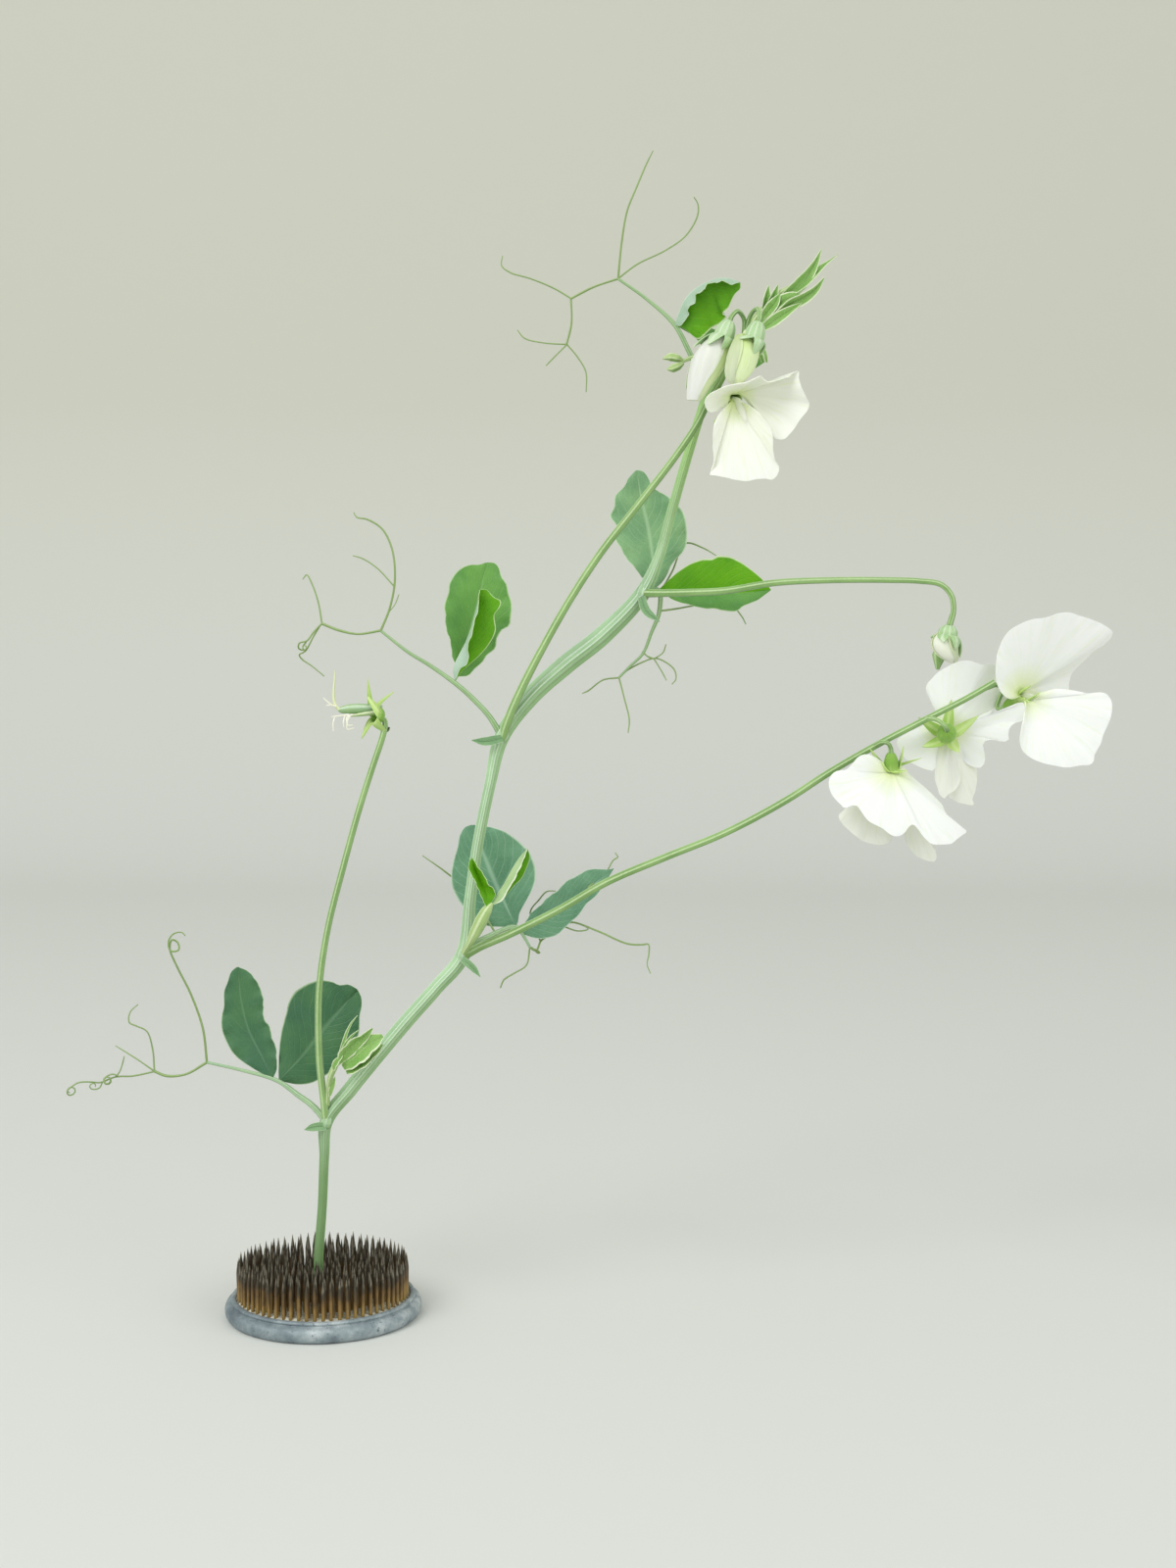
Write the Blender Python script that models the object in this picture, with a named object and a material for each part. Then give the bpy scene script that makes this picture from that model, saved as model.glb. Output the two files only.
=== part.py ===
# A cut sweet pea spray standing upright on the pins of a round metal flower holder.
#
# The origin is the centre of the holder's underside, +Z is up, and the spray leans towards +X.
# The viewer the spray is turned to looks along +Y. Points and sizes below are in millimetres,
# and every mesh is turned to metres when its object is made.

import bpy
import bmesh
import numpy as np
from math import cos, pi, radians, sin

MM = 0.001
CLEAR = 0.3             # gap between two pieces that rest against each other
BLADE = 0.6             # thickness of leaf and petal sheets
SHARP_ANGLE = 35        # degrees between two faces that don't shade as one
TENDRIL_R = 0.45        # tendril tip, centre to corner
TENDRIL_STEP = 6.5      # between the rings of a tendril

# Holder: a turned lead base with a field of pins standing in a shallow recess.
BASE_R = 34.2
BASE_H = 7.1
FOOT_R = 32.6
RECESS_R = 30.4
RECESS_FLOOR = 5.6
BED_R = 30.0
BED_TOP = 7.2
PIN_R = 0.62
PIN_TOP = 20.4
PIN_POINT = 4.6         # length of the ground tip
PIN_RINGS = 8
PIN_PITCH = 3.65
STEM_PIN = (-1.2, -3.45)
PIN_PHASE = 10.8        # degrees, so that one pin of the first ring stands under the stem

# Stem and branches: points along each, then half-widths from its foot to its end.
STEM = [
    (-1.2, -3.45, 7.5), (-1.1, -3.45, 20.5), (0.3, -3.4, 39.2), (1.1, -3.4, 56.6),
    (1.9, -3.2, 69.0), (7.7, -3, 81.3), (15.1, -2, 90.8), (27.8, 0, 103.1),
    (39.6, 2, 114.8), (48.7, 3, 126.0), (51.5, 3, 146.6), (54.2, 2, 165.4),
    (58.4, 1, 185.9), (62.4, 0.5, 202.1), (71.8, 1, 215.5), (83.5, 2, 226.3),
    (96.9, 3, 237.0), (110.2, 4, 251.1), (115.8, 4, 263.1), (121.1, 4, 279.8),
    (125.6, 3, 296.3), (129.4, 2, 311.0), (132.2, 2, 319.3), (136.3, 2, 327.3),
    (141.0, 2.6, 333.6), (146.2, 3, 338.2)]
STEM_R = [
    1.75, 1.7, 1.5, 1.6,
    2.2, 2.5, 2.5, 2.5,
    2.4, 2.4, 2.0, 1.9,
    1.9, 2.3, 3.1, 3.3,
    3.2, 2.5, 1.7, 1.65,
    1.6, 1.5, 1.6, 1.4,
    1.2, 1.0]
STEM_FLAT = 0.74        # depth of the winged stem over its width

STALK_1 = [
    (1.9, -3.4, 68.5), (1.2, -4.8, 77), (0, -6, 91.6), (-0.7, -7, 115.6), (1.9, -8, 136.1),
    (7.2, -9, 159.8), (13, -9, 179.9), (18.3, -9, 193.3), (22.7, -9, 203.2),
    (25.4, -8.4, 205.2), (27.4, -7.4, 207.2), (27.2, -6.9, 208.7), (25.87, -7.32, 209.2)]
STALK_1_R = [1.5, 1.4, 1.35, 1.3, 1.2, 1.2, 1.2, 1.1, 1.1, 1.1, 1.1, 1.1, 1.1]
STALK_2 = [
    (48.2, 2.8, 125.4), (55, 1.5, 131.2), (65.1, 0, 136.8), (82.1, -3, 145.1),
    (98.8, -7, 155.5), (118.7, -10, 165.0), (138.4, -13, 172.4), (157.8, -16, 181.1),
    (174.0, -18, 189.6), (189.9, -20, 199.6), (205.9, -21, 208.6), (217.0, -22, 215.8),
    (226.6, -22, 222.6)]
STALK_2_R = [1.6, 1.5, 1.45, 1.4, 1.4, 1.35, 1.3, 1.3, 1.25, 1.2, 1.15, 1.1, 1.1]
STALK_3 = [
    (62.4, 0.5, 202.1), (65.2, -2.4, 210), (68.7, -3.6, 219.7), (74.6, -5, 234.8),
    (83.5, -6, 251.3), (95.0, -7, 266.1), (108.1, -7, 280.9), (121.2, -7, 297.3),
    (128.3, -7, 308.0), (131.6, -7, 314.5), (135.8, -7, 321.7), (139.9, -7, 330.8),
    (143.8, -7, 337.5)]
STALK_3_R = [1.7, 1.6, 1.5, 1.4, 1.35, 1.35, 1.3, 1.25, 1.2, 1.2, 1.15, 1.1, 1.0]
STALK_4 = [
    (111.0, 3.6, 251.4), (117, 1.2, 251.3), (125.1, 0, 251.5), (138.3, -2, 252.2),
    (154.8, -3, 254.9), (174.4, -3.4, 255.9), (194.0, -3.6, 256.0), (207.0, -3.8, 255.4),
    (212.2, -4, 253.4), (214.5, -4, 249.5), (215.0, -4, 243.6), (214.24, -4, 241.1)]
STALK_4_R = [1.5, 1.4, 1.35, 1.3, 1.2, 1.1, 1.05, 1.0, 1.0, 1.0, 1.0, 1.1]

# Where each flower sits: the middle of its calyx's underside, the way the flower faces, and
# the side that its standard petal rises on.
SOCKETS = {
    "bloom_a": ((232.5, -8.3, 213.4), (0.80, -0.35, 0.50), (-0.5, -0.1, 0.86)),
    "bloom_b": ((211.0, -22.1, 206.4), (0.15, 0.90, -0.30), (0.1, 0.3, 0.9)),
    "bloom_c": ((192.7, -21.0, 198.7), (0.10, 0.32, -0.94), (0.0, -0.95, -0.3)),
    "bloom_d": ((137.3, -5.0, 318.3), (0.50, -0.80, -0.36), (0.1, -0.3, 0.95)),
    "bud_e1": ((138.4, -12.2, 341.2), (-0.37, -0.10, -0.92), (0, -1, 0)),
    "bud_e2": ((147.6, -17.2, 340.3), (-0.28, -0.06, -0.96), (0, -1, 0)),
    "bud_f": ((214.2, -4.0, 240.8), (-0.14, 0, -0.99), (0, -1, 0)),
    "spent": ((25.6, -7.4, 209.3), (-0.90, -0.28, 0.33), (0.33, 0, 0.94))}

# The short stem of each flower, from the stalk's middle to just before its calyx.
PEDICELS = {
    "bloom_a": [(223.6, -22, 220.5), (226.8, -18.5, 221.6), (229.8, -12.5, 219.8),
                (229.4, -8.0, 215.8), (229.2, -6.8, 212.8)],
    "bloom_b": [(203.4, -20.9, 207.3), (205.4, -24.2, 208.4), (208.4, -26.8, 208.4)],
    "bloom_c": [(186.8, -19.7, 197.8), (188.2, -22.4, 200.2), (190.4, -23.6, 202.6)],
    "bloom_d": [(133.2, -7, 317.4), (134.0, -4.2, 319.4)],
    "bud_e1": [(143.6, -7, 337.0), (143.4, -8.2, 342.4), (141.0, -10.8, 344.6)],
    "bud_e2": [(143.8, -7, 337.4), (145.6, -9.4, 343.6), (147.4, -14.0, 345.0)]}
PEDICEL_R = [0.95, 0.85, 0.8, 0.9, 1.0]


def unit(vector):
    """The vector at length one."""
    vector = np.asarray(vector, float)
    return vector / np.linalg.norm(vector)


def smooth(points, step):
    """Points about every step mm on a smooth curve through the given points, and where
    each lies between the first given point (0) and the last (1)."""
    p = np.asarray(points, float)
    if len(p) == 2:
        count = max(1, round(np.linalg.norm(p[1] - p[0]) / step))
        u = np.linspace(0, 1, count + 1)
        return p[0] + u[:, None] * (p[1] - p[0]), u
    ends = np.vstack([2 * p[0] - p[1], p, 2 * p[-1] - p[-2]])
    curve, where = [], []
    for i in range(len(p) - 1):
        a, b, c, d = ends[i:i + 4]
        ka, kb, kc = (max(np.linalg.norm(q - r), 1e-6) ** 0.5 for q, r in ((b, a), (c, b), (d, c)))
        out = (c - b) + kb * ((b - a) / ka - (c - a) / (ka + kb))
        into = (c - b) + kb * ((d - c) / kc - (d - b) / (kb + kc))
        count = max(1, round(np.linalg.norm(c - b) / step))
        for k in range(count):
            t = k / count
            curve.append((2 * t**3 - 3 * t**2 + 1) * b + (t**3 - 2 * t**2 + t) * out
                         + (3 * t**2 - 2 * t**3) * c + (t**3 - t**2) * into)
            where.append((i + t) / (len(p) - 1))
    curve.append(p[-1])
    where.append(1.0)
    return np.array(curve), np.array(where)


def spread(values, where):
    """Values given evenly from first to last, read at the places in where."""
    return np.interp(where, np.linspace(0, 1, len(values)), values)


def tube(points, radii, sides, step, flat=1.0, grow=0.0):
    """A closed tube. flat is its depth over its width, and grow thickens it all round."""
    centres, where = smooth(points, step)
    radius = spread(radii, where)
    heading = np.gradient(centres, axis=0)
    depth = np.array([0.0, -1.0, 0.0])
    verts = []
    for centre, direction, r in zip(centres, heading, radius):
        direction = unit(direction)
        depth = unit(depth - direction * depth.dot(direction))
        width = np.cross(depth, direction)
        for k in range(sides):
            angle = 2 * pi * (k + 0.5) / sides
            verts.append(centre + width * (r + grow) * cos(angle)
                         + depth * (r * flat + grow) * sin(angle))
    rings = len(centres)
    faces = [list(range(sides))[::-1], [(rings - 1) * sides + k for k in range(sides)]]
    for i in range(rings - 1):
        for k in range(sides):
            a, b = i * sides + k, i * sides + (k + 1) % sides
            faces.append([a, b, b + sides, a + sides])
    return verts, faces


def sheet(grid, thickness=BLADE):
    """A closed sheet about a grid of points, with both faces split alike."""
    rows, cols = grid.shape[:2]
    along, across = np.gradient(grid, axis=0), np.gradient(grid, axis=1)
    normal = np.cross(across, along)
    normal /= np.linalg.norm(normal, axis=2)[:, :, None]
    front, back = grid + normal * thickness / 2, grid - normal * thickness / 2
    verts = [*front.reshape(-1, 3), *back.reshape(-1, 3)]
    size = rows * cols
    faces = []
    for i in range(rows - 1):
        for j in range(cols - 1):
            a = i * cols + j
            corners = [a, a + 1, a + cols + 1, a + cols]
            if (i + j) % 2:
                corners = corners[1:] + corners[:1]
            a, b, c, d = corners
            for face in ([a, b, c], [a, c, d]):
                faces.append(face)
                faces.append([v + size for v in face[::-1]])
    rim = [j for j in range(cols)] + [i * cols + cols - 1 for i in range(1, rows)]
    rim += [(rows - 1) * cols + j for j in range(cols - 2, -1, -1)]
    rim += [i * cols for i in range(rows - 2, 0, -1)]
    for a, b in zip(rim, rim[1:] + rim[:1]):
        faces += [[b, a, a + size], [b, a + size, b + size]]
    return verts, faces


def leaflet(spine, half_widths, facing, fold=(10, 10), wave=0.5, waves=3, rows=8, cols=5,
            thickness=BLADE):
    """A leaf blade along its midrib. facing is the side its face is turned to, and fold is
    how far its left and right halves rise towards that side, in degrees."""
    centres, _ = smooth(spine, length(spine) / (4 * rows))
    centres = np.array([centres[round(i * (len(centres) - 1) / (rows - 1))] for i in range(rows)])
    where = np.linspace(0, 1, rows)
    half = spread(half_widths, where)
    heading = np.gradient(centres, axis=0)
    grid = np.zeros((rows, cols, 3))
    for i in range(rows):
        direction = unit(heading[i])
        side = unit(np.cross(direction, unit(facing)))
        face = np.cross(side, direction)
        for j, v in enumerate(np.linspace(-1, 1, cols)):
            tilt = radians(fold[0] if v < 0 else fold[1])
            lift = wave * v * v * sin(2 * pi * waves * where[i] + (pi / 2 if v > 0 else 0))
            lift *= min(1, half[i] / 3)
            grid[i, j] = (centres[i] + side * v * half[i] * cos(tilt)
                          + face * (abs(v) * half[i] * sin(tilt) + lift))
    return sheet(grid, thickness)


def length(points):
    """The length of the line through the points."""
    return sum(np.linalg.norm(np.subtract(b, a)) for a, b in zip(points, points[1:]))


def tendril(points, root=None):
    """A thin four-sided thread that tapers from its root."""
    thick = TENDRIL_R if root is None else root
    return tube(points, [thick, max(TENDRIL_R, thick * 0.8), TENDRIL_R], 4, TENDRIL_STEP)


class Socket:
    """A flower's seat at the end of its stem."""

    def __init__(self, name):
        place, facing, up = SOCKETS[name]
        self.place = np.asarray(place, float)
        self.axis = unit(facing)
        self.side = unit(np.cross(unit(up), self.axis))
        self.up = np.cross(self.axis, self.side)

    def at(self, x, y, z):
        """A point x to the side, y up and z along the flower's axis."""
        return self.place + self.side * x + self.up * y + self.axis * z


def pedicel(name):
    """The short stem of one flower, which ends square to its calyx."""
    seat = Socket(name)
    points = [*PEDICELS[name], seat.at(0, 0, -2.0), seat.at(0, 0, -CLEAR)]
    return tube(points, PEDICEL_R, 5, 2.0)


def mesh_object(name, verts, faces):
    """An object in metres from points in millimetres."""
    mesh = bpy.data.meshes.new(name)
    mesh.from_pydata([tuple(np.asarray(v) * MM) for v in verts], [], faces)
    mesh.update()
    obj = bpy.data.objects.new(name, mesh)
    bpy.context.scene.collection.objects.link(obj)
    return obj


def apply_boolean(obj, operation, others, solver="EXACT"):
    """Joins the other objects to obj, or cuts them from it, and removes them."""
    group = bpy.data.collections.new(obj.name + "_tools")
    bpy.context.scene.collection.children.link(group)
    for other in others:
        group.objects.link(other)
    modifier = obj.modifiers.new(operation, "BOOLEAN")
    modifier.operation = operation
    modifier.operand_type = "COLLECTION"
    modifier.collection = group
    modifier.solver = solver
    graph = bpy.context.evaluated_depsgraph_get()
    mesh = bpy.data.meshes.new_from_object(obj.evaluated_get(graph))
    obj.modifiers.remove(modifier)
    obj.data = mesh
    for other in others:
        bpy.data.objects.remove(other)
    bpy.data.collections.remove(group)


def keep_largest(obj):
    """Drops loose scraps that a cut leaves."""
    bm = bmesh.new()
    bm.from_mesh(obj.data)
    left, bodies = set(bm.verts), []
    while left:
        body, edge = set(), {left.pop()}
        while edge:
            vert = edge.pop()
            body.add(vert)
            near = {e.other_vert(vert) for e in vert.link_edges} & left
            left -= near
            edge |= near
        bodies.append(body)
    bodies.sort(key=len)
    bmesh.ops.delete(bm, geom=[v for body in bodies[:-1] for v in body], context="VERTS")
    bm.to_mesh(obj.data)
    bm.free()


def finish(obj, surface):
    """Gives the piece its material and smooth shading between its sharp edges."""
    obj.data.materials.clear()
    obj.data.materials.append(surface)
    obj.data.shade_smooth()
    obj.data.set_sharp_from_angle(angle=radians(SHARP_ANGLE))
    return obj


def node(name, pieces, surface, cut_by=(), solver="EXACT"):
    """One solid from pieces that grew together, cut clear of the tubes in cut_by."""
    first, *rest = [mesh_object(name, verts, faces) for verts, faces in pieces]
    if rest:
        apply_boolean(first, "UNION", rest, solver)
    if cut_by:
        cutters = [mesh_object(name + "_cut", verts, faces) for verts, faces in cut_by]
        apply_boolean(first, "DIFFERENCE", cutters, solver)
        keep_largest(first)
    return finish(first, surface)


def material(name, colour, roughness, metallic=0.0):
    """A plain surface of one colour, given in linear light."""
    made = bpy.data.materials.new(name)
    made.use_nodes = True
    shader = made.node_tree.nodes["Principled BSDF"]
    shader.inputs["Base Color"].default_value = (*colour, 1)
    shader.inputs["Roughness"].default_value = roughness
    shader.inputs["Metallic"].default_value = metallic
    return made


# Holder


def turned(profile, segments=40):
    """A solid of revolution about Z from (radius, height) points that start and end on it."""
    verts, faces = [], []
    inner = profile[1:-1]
    for r, z in inner:
        verts += [(r * cos(2 * pi * k / segments), r * sin(2 * pi * k / segments), z)
                  for k in range(segments)]
    for i in range(len(inner) - 1):
        for k in range(segments):
            a, b = i * segments + k, i * segments + (k + 1) % segments
            faces.append([a, b, b + segments, a + segments])
    last = (len(inner) - 1) * segments
    faces.append(list(range(segments))[::-1])
    faces.append([last + k for k in range(segments)])
    return verts, faces


def holder_base():
    profile = [
        (0, 0), (FOOT_R, 0), (BASE_R - 0.5, 0.9), (BASE_R, 2.4), (BASE_R - 0.3, 4.2),
        (BASE_R - 1.1, 5.4), (BASE_R - 2.4, 5.9), (BASE_R - 3.0, BASE_H),
        (RECESS_R, BASE_H), (RECESS_R, RECESS_FLOOR), (0, RECESS_FLOOR)]
    lead = material("lead", (0.32, 0.36, 0.39), 0.6, 0.6)
    return node("holder_base", [turned(profile)], lead)


def pin_places():
    """The middle pin, then rings that hold six more pins each than the one inside them."""
    places = [(0.0, 0.0)]
    for ring in range(1, PIN_RINGS + 1):
        for k in range(6 * ring):
            angle = radians(PIN_PHASE) + 2 * pi * k / (6 * ring)
            places.append((ring * PIN_PITCH * cos(angle), ring * PIN_PITCH * sin(angle)))
    return places


def pin(x, y):
    """A four-sided pin with a ground point, its foot sunk in the bed."""
    verts = [(x + PIN_R * cos(pi * k / 2), y + PIN_R * sin(pi * k / 2), z)
             for z in (BED_TOP - 0.8, PIN_TOP - PIN_POINT) for k in range(4)]
    verts.append((x, y, PIN_TOP))
    faces = [[3, 2, 1, 0]]
    for k in range(4):
        nxt = (k + 1) % 4
        faces += [[k, nxt, nxt + 4, k + 4], [k + 4, nxt + 4, 8]]
    return verts, faces


def holder_pins():
    bed = turned([(0, RECESS_FLOOR + CLEAR), (BED_R, RECESS_FLOOR + CLEAR),
                  (BED_R, BED_TOP), (0, BED_TOP)])
    brass = material("aged_brass", (0.20, 0.12, 0.05), 0.45, 0.8)
    return node("holder_pins", [bed] + [pin(x, y) for x, y in pin_places()], brass)


# Stem, stalks and leaves


def stem_tube(grow=0.0):
    return tube(STEM, STEM_R, 8, 10.0, STEM_FLAT, grow)


def stalk_tube(points, radii, grow=0.0):
    return tube(points, radii, 6, 9.0, 0.95, grow)


def stipules(grow=0.0):
    """The small pointed leaves at the joints of the stem."""
    blades = []
    for root, middle, tip, half in (
            ((1.8, -3.6, 67.4), (-1.8, -5.4, 67.6), (-5.4, -6.2, 66.6), 1.7),
            ((48.6, 1.4, 125.4), (52.2, -0.6, 122.6), (54.8, -2.4, 119.8), 1.5),
            ((62.4, 0, 201.4), (57.0, -2.6, 200.6), (52.4, -3.6, 201.0), 1.9),
            ((110.0, 3.0, 249.8), (111.6, 0.2, 245.4), (116.0, -1.6, 241.8), 1.8)):
        half_widths = [0.7 * half + grow, half + grow, 0.8 * half + grow, 0.3 + grow]
        blades.append(leaflet([root, middle, tip], half_widths, (0, -1, 0.3), (12, 12), 0, rows=4,
                              cols=3, thickness=BLADE + 2 * grow))
    return blades


def main_stem(green):
    x, y = STEM_PIN
    bore = tube([(x, y, 6.0), (x, y, PIN_TOP + CLEAR)], [PIN_R + CLEAR] * 2, 8, 20)
    return node("main_stem", [stem_tube()] + stipules(), green, [bore])


def around_stem():
    """The space that the stem and its stipules need, which the branches are cut clear of."""
    return [stem_tube(CLEAR)] + stipules(CLEAR)


def branches(green):
    """The four flower stalks, each cut clear of the stem that it grows from."""
    small_bud = tube([(214.8, -3.4, 244.6), (212.6, 1.2, 242.0), (210.2, 2.8, 236.0),
                      (209.4, 2.8, 229.6), (210.6, 2.4, 224.8)],
                     [0.8, 0.7, 0.9, 2.0, 0.6], 6, 3.0)
    hooks = {
        "flower_stalk_1": [],
        "flower_stalk_2": [pedicel(name) for name in ("bloom_a", "bloom_b", "bloom_c")],
        "flower_stalk_3": [pedicel(name) for name in ("bloom_d", "bud_e1", "bud_e2")],
        "flower_stalk_4": [small_bud]}
    routes = ((STALK_1, STALK_1_R), (STALK_2, STALK_2_R), (STALK_3, STALK_3_R),
              (STALK_4, STALK_4_R))
    for (name, pedicels), (points, radii) in zip(hooks.items(), routes):
        node(name, [stalk_tube(points, radii)] + pedicels, green, around_stem())


def leaf_1(dark):
    petiole = tube([(1.9, -3.2, 69.0), (-3.4, -2, 74.4), (-7.9, -1, 77.4), (-15.4, 0, 82.6),
                    (-28.0, 2, 85.6), (-40.5, 4, 87.9)], [1.2, 1.1, 1.0, 0.8, 0.65, 0.6], 5, 5.0,
                   0.8)
    left = leaflet([(-15.9, 0.2, 82.6), (-22.5, 2, 93), (-28.0, 4, 104), (-31.0, 4.5, 113.5),
                    (-29.6, 4, 121.4)], [0.6, 5.0, 7.4, 7.8, 6.8, 4.6, 0.5], (0.1, -1, 0.1),
                   (8, 14), 0.7, 3)
    right = leaflet([(-15.2, 0.4, 82.6), (-5, 4, 92), (3.5, 7, 102), (11.0, 9.5, 112.5)],
                    [0.6, 9.5, 13.5, 14.6, 13.6, 9.6, 0.8], (-0.2, -1, 0.2), (6, 4), 0.6, 3)
    threads = [
        tendril([(-40.5, 4, 87.9), (-41.4, 2, 100.1), (-45, 0, 112.5), (-49.4, -3, 123.3),
                 (-50.9, -5, 130.4), (-49.2, -7, 133.4), (-46.3, -8, 133.2)], 0.55),
        tendril([(-40.5, 4, 87.9), (-48, 5, 83.5), (-55, 6, 82.6), (-59.4, 6, 84.3)], 0.6),
        tendril([(-59.2, 6, 84.0), (-59.8, 5, 92.5), (-61.7, 3, 99.1), (-65.2, 2, 101.4),
                 (-66.0, 1, 104.3), (-62.3, 0, 108.0)]),
        tendril([(-59.2, 6, 84.2), (-65.6, 8, 87.6), (-73.6, 10, 91.4)]),
        tendril([(-59.0, 6, 84.2), (-67, 6, 82.5), (-72.6, 5, 82.4), (-79.8, 2, 80.9),
                 (-84.7, 1, 81.8), (-90.8, -2, 79.4)], 0.5),
        tendril([(-72.6, 5, 82.4), (-70.1, 3, 86.6), (-68.9, 1, 89.8)])]
    node("leaf_1", [petiole, left, right] + threads, dark,
         [*around_stem(), stalk_tube(STALK_1, STALK_1_R, CLEAR)], "MANIFOLD")


def leaf_2(dark):
    petiole = tube([(48.9, 3.6, 126.6), (52.5, 6.4, 129.4), (58.0, 8.4, 132.1), (67.1, 11, 134.8),
                    (69.8, 11.8, 131.2), (71.9, 12, 127.4)], [1.1, 1.05, 1.0, 0.9, 0.7, 0.6], 5,
                   4.0, 0.8)
    round_one = leaflet([(67.3, 11, 134.4), (60.5, 12.5, 147), (55.5, 13.5, 159), (51.6, 14, 169.3)],
                        [0.7, 10.5, 13.6, 14.2, 13.4, 9.8, 1.0], (0, -1, 0), (4, 8), 0.5, 3)
    long_one = leaflet([(66.9, 11, 134.5), (79, 12, 140.5), (91, 13, 148.5), (100.7, 14, 155.6)],
                       [0.6, 4.8, 6.8, 7.2, 6.8, 4.6, 0.5], (0, -1, -0.2), (8, 8), 0.5, 3)
    threads = [
        tendril([(71.8, 12, 127.6), (70.6, 11, 121.3), (66.5, 10, 118.7), (62.8, 9, 116.4)]),
        tendril([(71.7, 12, 127.6), (74.0, 12.2, 126.3), (75.7, 14, 129.5), (78.4, 16, 131.1),
                 (83.5, 17.5, 134.3), (86.3, 18, 135.5), (95.6, 18, 132.4), (106.0, 17, 128.1),
                 (111.2, 16, 127.9), (113.8, 15, 127.4), (113.6, 13, 122.8), (114.9, 12, 118.1)],
                0.55),
        tendril([(83.3, 17.4, 134.2), (88.7, 18, 132.4), (92.2, 18, 133.1)]),
        tendril([(75.5, 13.8, 129.3), (71.8, 17, 139.1), (74.9, 18, 143.5), (77.6, 18, 146.0)]),
        tendril([(60.0, 9.0, 132.8), (50.7, 18, 145.5), (42.0, 19, 153.0), (33.7, 19, 158.9)]),
        tendril([(92.1, 13, 148.6), (98.3, 16, 153.4), (101.1, 16, 158.6), (102.4, 15, 160.4)])]
    node("leaf_2", [petiole, round_one, long_one] + threads, dark,
         [*around_stem(), stalk_tube(STALK_2, STALK_2_R, CLEAR)])


def leaf_3(fresh):
    petiole = tube([(62.2, 0.4, 202.6), (58.7, -0.4, 209.0), (55.1, -1, 214.6), (47.2, -2, 222.3),
                    (33.6, -3, 231.3), (21.4, -4, 238.5)], [1.2, 1.1, 1.0, 0.9, 0.7, 0.6], 5, 5.0,
                   0.8)
    back_one = leaflet([(47.4, -1.8, 222.0), (48.6, 1.5, 236), (52.5, 4.5, 249), (57.6, 6, 261.4)],
                       [0.7, 8.2, 11.2, 12.0, 11.6, 9.0, 1.6], (-0.1, -1, 0.1), (8, 12), 0.7, 3)
    front_one = leaflet([(47.0, -2.4, 222.2), (49.8, -6.6, 232), (53.8, -9.4, 242),
                         (57.6, -10.6, 251.4)],
                        [0.6, 4.8, 6.8, 7.4, 7.0, 5.0, 0.6], (0.5, -1, 0.1), (68, 8), 0.5, 3)
    threads = [
        tendril([(21.6, -4, 238.4), (24.9, -6, 246.2), (26.8, -8, 256.0), (25.9, -9, 265.9),
                 (22.7, -9, 272.4), (17.8, -9, 275.6), (13.4, -8, 276.3)], 0.55),
        tendril([(26.4, -7.4, 253.4), (20.4, -3, 259.4), (15.2, -1, 262.7), (11.8, 0, 263.7)]),
        tendril([(21.6, -4, 238.4), (13.6, -3, 237.2), (6.9, -2, 238.5), (1.1, -1, 240.7)], 0.55),
        tendril([(1.3, -1, 240.5), (0, 0, 247.7), (-2.4, 1, 254.4), (-4.5, 2, 256.7)]),
        tendril([(1.3, -1, 240.7), (-2.0, -3, 237.8), (-4.9, -4, 234.5), (-5.8, -2, 231.1),
                 (-1.8, 0, 227.7), (2.0, 2, 223.6)])]
    node("leaf_3", [petiole, back_one, front_one] + threads, fresh,
         [*around_stem(), stalk_tube(STALK_3, STALK_3_R, CLEAR)])


def leaf_4(fresh):
    petiole = tube([(110.2, 4.2, 251.1), (112.6, 6.6, 251.6), (116.2, 8, 252.2), (116.3, 8.4, 244.7),
                    (113.8, 9, 238.0), (110.8, 10, 230.5), (106.4, 10, 226.1), (102.4, 10, 222.0)],
                   [1.2, 1.1, 1.0, 0.9, 0.75, 0.65, 0.6, 0.55], 5, 4.0, 0.8)
    tall_one = leaflet([(116.2, 8.4, 251.8), (115.8, 11, 266), (112.8, 13, 280), (108.5, 14, 293.9)],
                       [0.7, 7.0, 10.6, 13.0, 12.8, 9.2, 1.0], (0, -1, 0.1), (6, 8), 0.6, 3)
    side_one = leaflet([(115.8, 8, 252.4), (129, 7.6, 253), (142, 7.0, 253.2), (154.6, 6.4, 252.9)],
                       [0.7, 7.2, 10.2, 11.4, 10.8, 7.4, 0.7], (0, -1, 0), (4, 32), 0.5, 3)
    threads = [
        tendril([(102.6, 10, 222.2), (97, 11, 221.3), (91.9, 12, 217.5), (89.8, 12, 216.4)]),
        tendril([(102.6, 10, 222.2), (104.4, 9, 215.3), (106.2, 8, 207.6), (105.8, 8, 203.1)]),
        tendril([(110.8, 10, 230.5), (114.9, 11, 228.5), (118.3, 12, 227.4), (122.5, 13, 224.4),
                 (121.8, 13, 221.0)]),
        tendril([(114.7, 11, 228.5), (118.1, 10.4, 231.6), (118.8, 10, 234.6)]),
        tendril([(114.7, 11, 228.7), (117.4, 12, 224.4), (119.1, 12, 221.7)]),
        tendril([(116.2, 8.4, 245.2), (122.3, 12, 246.0), (128, 15.5, 247.0), (134.3, 17, 248.0),
                 (142.4, 17, 246.5), (145.3, 16, 243.4), (146.7, 15, 240.7)]),
        tendril([(116.6, 8.6, 251.6), (121, 15, 259), (125.6, 17, 268.6), (131.7, 16, 267.0),
                 (136.2, 15, 264.4)])]
    node("leaf_4", [petiole, tall_one, side_one] + threads, fresh,
         [*around_stem(), stalk_tube(STALK_4, STALK_4_R, CLEAR)])


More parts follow.
